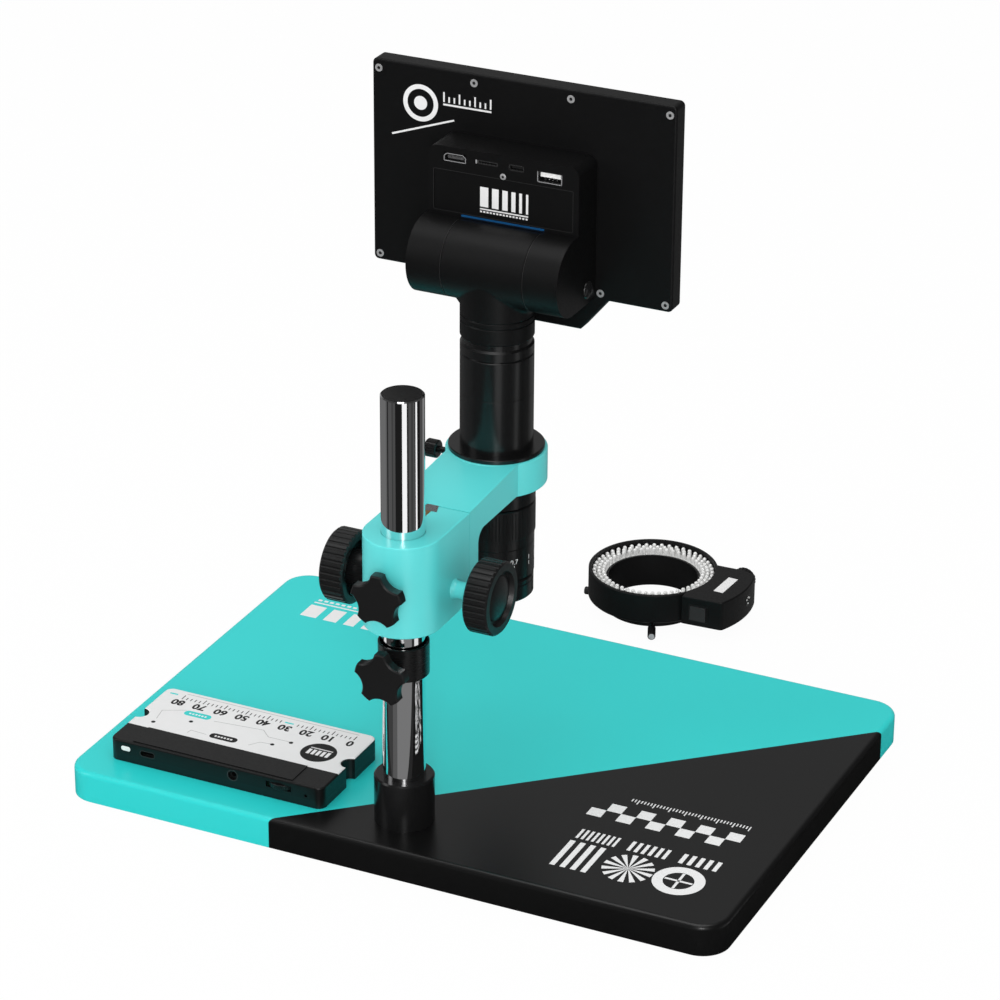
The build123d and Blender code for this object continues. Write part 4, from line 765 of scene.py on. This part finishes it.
# ---- sockets of the display ----
# Each plated socket has a black moulded lining, and three have a tongue: black, grey,
# and white in the tallest one, where four sprung contacts lie under it.
lining_inset = 0.55
lining_wall = 0.12
lining_deep, lining_mouth = -26.9, -18.3
cut_socket = ((32.3, 377.9), (14.0, 5.4))
card_slot = ((11.6, 377.9), (12.4, 2.2))
small_socket = ((-6.4, 377.9), (9.4, 3.6))
tall_socket = ((-27.2, 375.7), (14.8, 7.2))


def rounded_block(shape, low, high, edge):
    """A block between two corners, in millimetres, with its edges rounded."""
    low, high = Vector(low) * mm, Vector(high) * mm
    before = set(shape.edges)
    size = Matrix.Diagonal((*(high - low), 1))
    bmesh.ops.create_cube(shape, size=1.0, matrix=Matrix.Translation((low + high) / 2) @ size)
    edges = [item for item in shape.edges if item not in before]
    bmesh.ops.bevel(shape, geom=edges, offset=edge * mm, affect="EDGES", segments=2, profile=0.5, material=-1)


def socket_lining(shape, centre, size):
    """The moulded inside of a socket that opens to the back."""
    x, z = centre
    half = Vector((size[0] / 2 - lining_inset, 0, size[1] / 2 - lining_inset)) * mm
    low = Vector((x, lining_deep, z)) * mm - half
    high = Vector((x, lining_mouth, z)) * mm + half
    before = set(shape.faces)
    reach = Matrix.Diagonal((*(high - low), 1))
    bmesh.ops.create_cube(shape, size=1.0, matrix=Matrix.Translation((low + high) / 2) @ reach)
    faces = [face for face in shape.faces if face not in before]
    front = [face for face in faces if face.normal.y > 0.9]
    bmesh.ops.delete(shape, geom=front, context="FACES_ONLY")
    walls = [face for face in faces if face.is_valid]
    bmesh.ops.solidify(shape, geom=walls, thickness=lining_wall * mm)


# The same black moulding also paints the shade in the screws' hexagon sockets.
port_black_and_shade = moulded_black(
    "port_moulding_and_shade", (0.0060, 0.0060, 0.0062), roughness=(0.45, 0.60), grain=(2600, 0.00002), gloss=0.30)
port_white = screen_ink("port_white", (0.78, 0.78, 0.77))
linings = bmesh.new()
for centre, opening in (cut_socket, card_slot, small_socket, tall_socket):
    socket_lining(linings, centre, opening)
finished("port_linings", linings, port_black_and_shade, "display")

small_tongue = bmesh.new()
rounded_block(small_tongue, (-9.95, -26.0, 377.28), (-2.85, -18.25, 378.52), edge=0.15)
finished("port_tongues", small_tongue, port_black_and_shade, "display")

tongue_grey = moulded_black(
    "tongue_grey", (0.0600, 0.0600, 0.0610), roughness=(0.35, 0.45), grain=(2600, 0.00002), gloss=0.40)
grey_tongue = bmesh.new()
rounded_block(grey_tongue, (27.4, -26.0, 376.6), (37.2, -18.25, 377.8), edge=0.2)
finished("port_wide_tongue", grey_tongue, tongue_grey, "display")

white_tongue = bmesh.new()
rounded_block(white_tongue, (-33.7, -26.4, 375.1), (-20.9, -18.2, 378.0), edge=0.25)
finished("port_white_tongue", white_tongue, port_white, "display")

contacts = bmesh.new()
for offset in (-3.6, -1.2, 1.2, 3.6):
    rounded_block(contacts, (-27.7 + offset, -25.6, 373.6), (-26.7 + offset, -18.7, 373.9), edge=0.08)
finished("port_contacts", contacts, plating, "display")


# ---- screw heads of the display ----
# The cover's eight screws and the one in the pod have bright heads with a hexagon
# socket. Each cover screw shows as a bright ring round its socket, which is a flat black hexagon of painted
# shade.
def bright_screw():
    material, tree, shader, place = surface("bright_screw")
    wear = noise(tree, place, 900, 3)
    tree.links.new(tinted(tree, wear, (0.34, 0.34, 0.345), (0.46, 0.46, 0.465)), shader.inputs["Base Color"])
    shader.inputs["Metallic"].default_value = 0.35
    tree.links.new(spread(tree, wear, 0.26, 0.36), shader.inputs["Roughness"])
    return material


screw_bright = bright_screw()
backward = ((-1, 0, 0), (0, 0, 1))
cover_face = ((0, -42.0, 0), *backward)
drive_face = ((0, -42.15, 0), *backward)
hexagon = 6
ring_bore, ring_rim, head_sides, head_film = 1.0, 2.35, 32, 0.25
drive_radius = 1.15
upper_row, lower_row = 414.79, 300.01
cover_screw_places = [(x, upper_row) for x in (-89.3, -28.4, 32.4, 93.3)]
cover_screw_places += [(x, lower_row) for x in (-89.3, -48.7, 52.7, 93.3)]
washers = bmesh.new()
drives = bmesh.new()
for x, z in cover_screw_places:
    ink_ring(washers, (-x, z), ring_bore, ring_rim, head_sides)
    ink_disc(drives, (-x, z), drive_radius, hexagon)
print_on("screw_washers", washers, cover_face, screw_bright, "display", head_film)
# Flat black hexagons: painted shade standing for the hollows of the sockets.
print_on("screw_drive_shades", drives, drive_face, port_black_and_shade, "display", head_film)


# ---- ear nub ----
# A smooth black cap, pressed into the outer side of one ear, low on the display.
# It covers the hinge's fixing there.
cap_black = moulded_black(
    "cap_moulding", (0.0060, 0.0060, 0.0062), roughness=(0.20, 0.26), grain=(2400, 0.00001), gloss=0.5)
nub = bmesh.new()
dome(nub, centre=(-45.4, -30.6, 305.8), radii=(2.6, 5.4, 5.4))
finished("ear_nub", nub, cap_black, "display")


# ---- pod screw ----
# One low domed screw of bright steel between the sockets and the plate. It is
# driven by a small hexagon and holds the pod's circuit board.
pod_screw = bmesh.new()
dome(pod_screw, centre=(1.9, -17.05, 371.4), radii=(1.9, 0.5, 1.9))
finished("pod_screw", pod_screw, screw_bright, "display")
# Its hexagon socket is a flat black hexagon: painted shade in the recess.
pod_drive_radius = 0.85
pod_drive_face = ((0, -16.62, 0), *backward)
pod_drive = bmesh.new()
ink_disc(pod_drive, (-1.9, 371.4), pod_drive_radius, hexagon)
print_on("pod_screw_drive_shade", pod_drive, pod_drive_face, port_black_and_shade, "display", film=0.08)


# ---- rims of the sockets ----
# Thin edges round the openings, plated on two sockets and at the end of the slot, and
# dark on the rest. One shell has its upper corners cut off. Narrow black lips close
# the upper edges of two openings down to their shells.
rim_width = 0.40
pod_face = ((0, -17.0, 0), *backward)


def ink_outline(shape, low, high, corner, width):
    """The rim of a rounded rectangle."""
    before = set(shape.faces)
    ink_pill(shape, low, high, corner)
    plate = [face for face in shape.faces if face not in before]
    bmesh.ops.inset_region(shape, faces=plate, thickness=width, use_boundary=True, use_even_offset=True)
    bmesh.ops.delete(shape, geom=[face for face in plate if face.is_valid], context="FACES")


def ink_path(shape, points, width):
    """Straight strokes from each point to the next."""
    for start, end in zip(points, points[1:]):
        ink_line(shape, start, end, width)


rim_silver = screen_ink("rim_silver", (0.26, 0.26, 0.265))
bright_rims = bmesh.new()
cut_rim = ((-39.05, 375.5), (-39.05, 378.4), (-37.4, 379.9), (-27.2, 379.9), (-25.55, 378.4), (-25.55, 375.5))
ink_path(bright_rims, cut_rim + cut_rim[:1], rim_width)
ink_line(bright_rims, (19.7, 378.4), (19.7, 372.05), rim_width)
ink_line(bright_rims, (19.5, 372.25), (34.9, 372.25), rim_width)
ink_line(bright_rims, (34.7, 372.05), (34.7, 378.4), rim_width)
ink_box(bright_rims, (-19.2, 376.8), (-18.2, 379.0))
print_on("port_rims", bright_rims, pod_face, rim_silver, "display", film=0.08)

dark_rims = bmesh.new()
ink_outline(dark_rims, (-18.0, 376.7), (-5.2, 379.1), corner=0.5, width=0.30)
ink_outline(dark_rims, (1.6, 376.0), (11.2, 379.8), corner=1.2, width=0.35)
ink_box(dark_rims, (19.5, 378.4), (34.9, 378.75))
# This grey also paints a highlight round the plate's recess.
rim_and_highlight_grey = moulded_black(
    "rim_and_edge_highlight", (0.0150, 0.0150, 0.0154), roughness=(0.40, 0.50), grain=(2200, 0.00001), gloss=0.40)
print_on("port_dark_rims", dark_rims, pod_face, rim_and_highlight_grey, "display", film=0.06)

corner_lip = 1.5
socket_lips = bmesh.new()
ink_box(socket_lips, (-39.5, 380.05), (-25.1, 380.75))
ink_line(socket_lips, (-39.69, 379.10), (-38.04, 380.60), corner_lip)
ink_line(socket_lips, (-24.91, 379.10), (-26.56, 380.60), corner_lip)
ink_box(socket_lips, (19.6, 378.7), (34.8, 379.45))
print_on("socket_lips", socket_lips, pod_face, shell_black, "display", film=0.05)

# A line of lighter grey round the plate's recess: a painted highlight on the edge of its step.
plate_edge_highlight = bmesh.new()
ink_outline(plate_edge_highlight, (-46.0, 344.7), (42.0, 369.9), corner=0.8, width=0.30)
print_on("plate_edge_highlight", plate_edge_highlight, pod_face, rim_and_highlight_grey, "display", film=0.05)


# ---- prints of the display ----
# White screen prints on the cover's back and on the plate under the sockets: a plain
# focus ring with a scale, and a row of bars that get finer over a thin line.
cover_target = (-66.5, 397.5)
cover_scale_left = -52.0
cover_print = bmesh.new()
ink_ring(cover_print, cover_target, inner=8.4, outer=11.2)
ink_disc(cover_print, cover_target, radius=4.2)
ink_scale(cover_print, left=cover_scale_left, foot=400.4, width=1.0, pitch=3.3, count=10, tall=6.0,
          short=3.4, every=3)
ink_box(cover_print, (cover_scale_left, 398.4), (-21.3, 399.5))
ink_line(cover_print, (-85.0, 376.0), (-45.0, 390.2), width=1.1)
print_on("cover_print", cover_print, cover_face, white_ink, "display")

plate_face = ((0, -17.3, 0), *backward)
pod_left, pod_right = -16.4, 13.9
pod_bars = ((pod_left, 5.2), (-8.9, 4.2), (-2.4, 3.4), (3.3, 2.6), (8.2, 1.8), (12.5, 1.4))
pod_print = bmesh.new()
for left, width in pod_bars:
    ink_box(pod_print, (left, 351.0), (left + width, 363.0))
ink_box(pod_print, (pod_left, 349.2), (pod_right, 350.0))
ink_row(pod_print, left=pod_left, low=347.5, width=1.3, height=1.0, pitch=2.05, count=15)
print_on("pod_print", pod_print, plate_face, white_ink, "display")


# ---- ring light ----
# A loose black ring with its box of controls, lying with three rows of resin bulbs
# upward on a masked board. A rocker and a dimmer are set in the box.
light_black = moulded_black(
    "light_moulding", (0.0038, 0.0038, 0.0040), roughness=(0.38, 0.50), grain=(2200, 0.00002), gloss=0.26)
dress(light_black, "light_housing", "dimmer_knob")
rocker_grey = moulded_black(
    "rocker_moulding", (0.0200, 0.0200, 0.0205), roughness=(0.42, 0.52), grain=(2200, 0.00002), gloss=0.40)
dress(rocker_grey, "rocker_switch")
resin = mottled("bulb_resin", (0.72, 0.72, 0.71), (0.92, 0.92, 0.91), drift=(500, 2), roughness=0.12,
                sockets={"Coat Weight": 0.5})
dress(resin, "led_bulbs")


def away_from(tree, place, middle):
    """The distance from a point."""
    reach = tree.nodes.new("ShaderNodeVectorMath")
    reach.operation = "DISTANCE"
    reach.inputs[1].default_value = middle
    tree.links.new(place, reach.inputs[0])
    return reach.outputs["Value"]


def bulb_board(middle, white_as_far_as):
    """A white mask under the two inner rows, black under the outer row."""
    material, tree, shader, place = surface("bulb_board")
    outer = maths(tree, "GREATER_THAN", away_from(tree, place, middle), white_as_far_as)
    drift = noise(tree, place, 260, 3)
    white = tinted(tree, drift, (0.60, 0.60, 0.59), (0.74, 0.74, 0.73))
    black = tinted(tree, drift, (0.006, 0.006, 0.006), (0.010, 0.010, 0.010))
    tree.links.new(tinted(tree, outer, white, black), shader.inputs["Base Color"])
    shader.inputs["Roughness"].default_value = 0.5
    return material


dress(bulb_board(middle=(-0.0038, -0.2376, 0.0210), white_as_far_as=0.0368), "led_board")


# ---- fittings of the ring light ----
# A blank white label on the control box, a round socket with four pins for its lead,
# and a black frame that the rocker sits in.
label_face = ((0, 0, 27.5), *upward)
light_label = bmesh.new()
ink_line(light_label, (-55.5, -222.7), (-57.0, -244.9), width=6.6)
print_on("light_label", light_label, label_face, white_ink, "ring_light")

sideways = ((0, -1, 0), (0, 0, 1))
lead_rim_face = ((-70.45, -237.6, 18.0), *sideways)
lead_pin_face = ((-70.5, -237.6, 18.0), *sideways)
lead_film = 0.15
lead_socket = bmesh.new()
ink_ring(lead_socket, (0, 0), inner=3.3, outer=4.0, sides=48)
print_on("lead_socket_rim", lead_socket, lead_rim_face, rocker_grey, "ring_light", lead_film)
lead_pins = bmesh.new()
for along, rise in ((2.0, 1.1), (-2.0, 1.1), (0.0, -2.1), (0.0, 2.2)):
    ink_disc(lead_pins, (along, rise), radius=0.62, sides=20)
print_on("lead_socket_pins", lead_pins, lead_pin_face, port_white, "ring_light", lead_film)

rocker_face = ((-48.0, -208.14, 16.8), (-0.99885, -0.04795, 0), (0, 0, 1))
rocker_frame = bmesh.new()
ink_outline(rocker_frame, (-6.6, -6.1), (6.6, 6.1), corner=0.8, width=0.8)
print_on("rocker_frame", rocker_frame, rocker_face, port_black_and_shade, "ring_light", film=0.3)


# ---- thumb screws ----
# Three steel screws that stand out of the ring light's foot and clamp it to a lens.
# Each has a knurled black head with a bare steel end.
screw_centre = (-3.8, -237.6, 3.8)
long_screw_end, short_screw_end = 52.9, 45.8


def thumb_screw_finish(name, head_at):
    """Bright steel as far as the head, knurled black from there on."""
    material, tree, shader, place = surface(name)
    middle = tuple(part * mm for part in screw_centre)
    shank = maths(tree, "LESS_THAN", away_from(tree, place, middle), head_at)
    drift = noise(tree, place, 300, 3)
    black = tinted(tree, drift, (0.0060, 0.0060, 0.0062), (0.0100, 0.0100, 0.0103))
    steel = tinted(tree, drift, (0.62, 0.62, 0.63), (0.76, 0.76, 0.77))
    tree.links.new(tinted(tree, shank, black, steel), shader.inputs["Base Color"])
    tree.links.new(shank, shader.inputs["Metallic"])
    tree.links.new(spread(tree, drift, 0.28, 0.38), shader.inputs["Roughness"])
    return material


dress(thumb_screw_finish("long_screw_finish", head_at=0.04045), "front_light_screw", "back_light_screw")
dress(thumb_screw_finish("short_screw_finish", head_at=0.03335), "left_light_screw")

cap_grey = screen_ink("cap_grey", (0.40, 0.40, 0.41))
cap_radius = 1.95
up = (0, 0, 1)
for side, bearing, reach in (("left", 9.0, short_screw_end), ("front", 240.0, long_screw_end),
                             ("back", 112.7, long_screw_end)):
    out = Vector((math.cos(math.radians(bearing)), math.sin(math.radians(bearing)), 0))
    cap_face = (Vector(screw_centre) + out * reach, Vector(up).cross(out), up)
    cap = bmesh.new()
    ink_disc(cap, (0, 0), cap_radius)
    print_on(f"{side}_screw_cap", cap, cap_face, cap_grey, f"{side}_screw", film=0.04)


# ---- module box ----
# A flat black box in two moulded halves round a small circuit board. Its upper shell
# is printed white as far as a dark strip along its back, where the sockets are.
def module_coating(white_above, strip_from):
    """Black moulding, screened white on its upper face in front of the strip."""
    material, tree, shader, place = surface("module_coating")
    parts = tree.nodes.new("ShaderNodeSeparateXYZ")
    tree.links.new(place, parts.inputs[0])
    above = maths(tree, "GREATER_THAN", parts.outputs["Z"], white_above)
    ahead_of_strip = maths(tree, "LESS_THAN", parts.outputs["Y"], strip_from)
    field = maths(tree, "MULTIPLY", above, ahead_of_strip)
    drift = noise(tree, place, 120, 3)
    white = tinted(tree, drift, (0.71, 0.71, 0.71), (0.75, 0.75, 0.75))
    black = tinted(tree, drift, (0.0040, 0.0040, 0.0042), (0.0060, 0.0060, 0.0062))
    tree.links.new(tinted(tree, field, black, white), shader.inputs["Base Color"])
    tree.links.new(spread(tree, noise(tree, place, 700, 2), 0.34, 0.44), shader.inputs["Roughness"])
    shader.inputs["Specular IOR Level"].default_value = 0.35
    raise_grain(tree, shader, noise(tree, place, 2200, 3), 0.00002, 0.3)
    return material


module_black = moulded_black(
    "module_moulding", (0.0038, 0.0038, 0.0040), roughness=(0.30, 0.40), grain=(2200, 0.00002), gloss=0.40)
dress(module_black, "module_base", "module_thumbwheel")
dress(module_coating(white_above=0.0325, strip_from=0.1034), "module_cover")
dress(circuit_board("module_circuit", parts_above=0.0243), "module_board")


# ---- prints of the module box ----
# On the white field are a plain ruler from 0 to 80, dots, thin lines and two pills,
# in black, turquoise, grey and white ink.
module_face = ((0, 0, 33.0), *upward)
black_ink = screen_ink("black_ink", (0.008, 0.008, 0.008))
grey_ink = screen_ink("grey_ink", (0.42, 0.42, 0.42))
teal_ink = screen_ink("teal_ink", (0.030, 0.560, 0.540))

ruler_zero, ten_pitch, mark_pitch = 59.5, 14.6, 2.92
figure_size, figure_weight, figure_foot = 8.4, 0.30, 65.2
half_mark, mark_top, mark_foot, long_mark_foot = 0.3, 63.4, 60.6, 58.6
gap_start, gap_end = 99.0, 108.0
black_print = bmesh.new()
for index in range(9):
    ink_number(black_print, str(index * 10), (ruler_zero + index * ten_pitch, figure_foot), figure_size,
               figure_weight)
for index in range(41):
    x = ruler_zero + index * mark_pitch
    if not gap_start < x < gap_end:
        foot = long_mark_foot if index % 5 == 0 else mark_foot
        ink_box(black_print, (x - half_mark, foot), (x + half_mark, mark_top))
ink_pill(black_print, (121.0, 91.9), (139.2, 97.7), corner=2.7)
ink_disc(black_print, (71.0, 85.9), radius=11.0, sides=64)
for spot in ((177.5, 95.7), (157.4, 85.6), (100.3, 89.1), (91.3, 82.4)):
    ink_disc(black_print, spot, radius=1.3)
print_on("module_print_black", black_print, module_face, black_ink, "module")

teal_print = bmesh.new()
ink_box(teal_print, (181.2, 58.8), (186.6, 60.1))
ink_box(teal_print, (100.6, 61.0), (106.5, 62.3))
ink_pill(teal_print, (148.7, 74.2), (166.6, 79.8), corner=2.6)
print_on("module_print_teal", teal_print, module_face, teal_ink, "module")

thin_line = 0.45
grey_print = bmesh.new()
for path in (((177.9, 91.2), (179.9, 80.9), (166.5, 74.3)),
             ((145.3, 79.2), (113.3, 75.9), (106.7, 82.1), (91.9, 81.9)),
             ((152.7, 98.6), (152.1, 94.9), (141.3, 95.6)),
             ((112.6, 95.9), (108.2, 89.9), (101.0, 88.9))):
    ink_path(grey_print, path, thin_line)
ink_box(grey_print, (59.2, 56.2), (176.3, 56.7))
print_on("module_print_grey", grey_print, module_face, grey_ink, "module")

over_print_face = ((0, 0, 33.0 + ink_film), *upward)
white_print = bmesh.new()
ink_row(white_print, left=63.6, low=83.6, width=2.0, height=5.8, pitch=3.1, count=5)
ink_box(white_print, (63.6, 81.4), (78.0, 82.2))
for left, low in ((124.2, 94.1), (151.6, 76.3)):
    ink_row(white_print, left, low, width=1.3, height=1.5, pitch=2.1, count=6)
print_on("module_print_light", white_print, over_print_face, white_ink, "module")


# ---- sockets of the module box ----
# Moulded rims round the two sockets in the box's back wall, and a small window of
# white plastic beside them.
module_back = ((0, 124.0, 0), *backward)
module_rims = bmesh.new()
ink_outline(module_rims, (-170.6, 25.5), (-160.2, 29.7), corner=1.9, width=0.45)
ink_ring(module_rims, (-107.9, 27.8), inner=3.05, outer=3.7)
print_on("module_rims", module_rims, module_back, rocker_grey, "module", film=0.12)
window = bmesh.new()
ink_pill(window, (-183.2, 26.7), (-177.0, 29.7), corner=1.4)
print_on("module_window", window, module_back, port_white, "module", film=0.1)
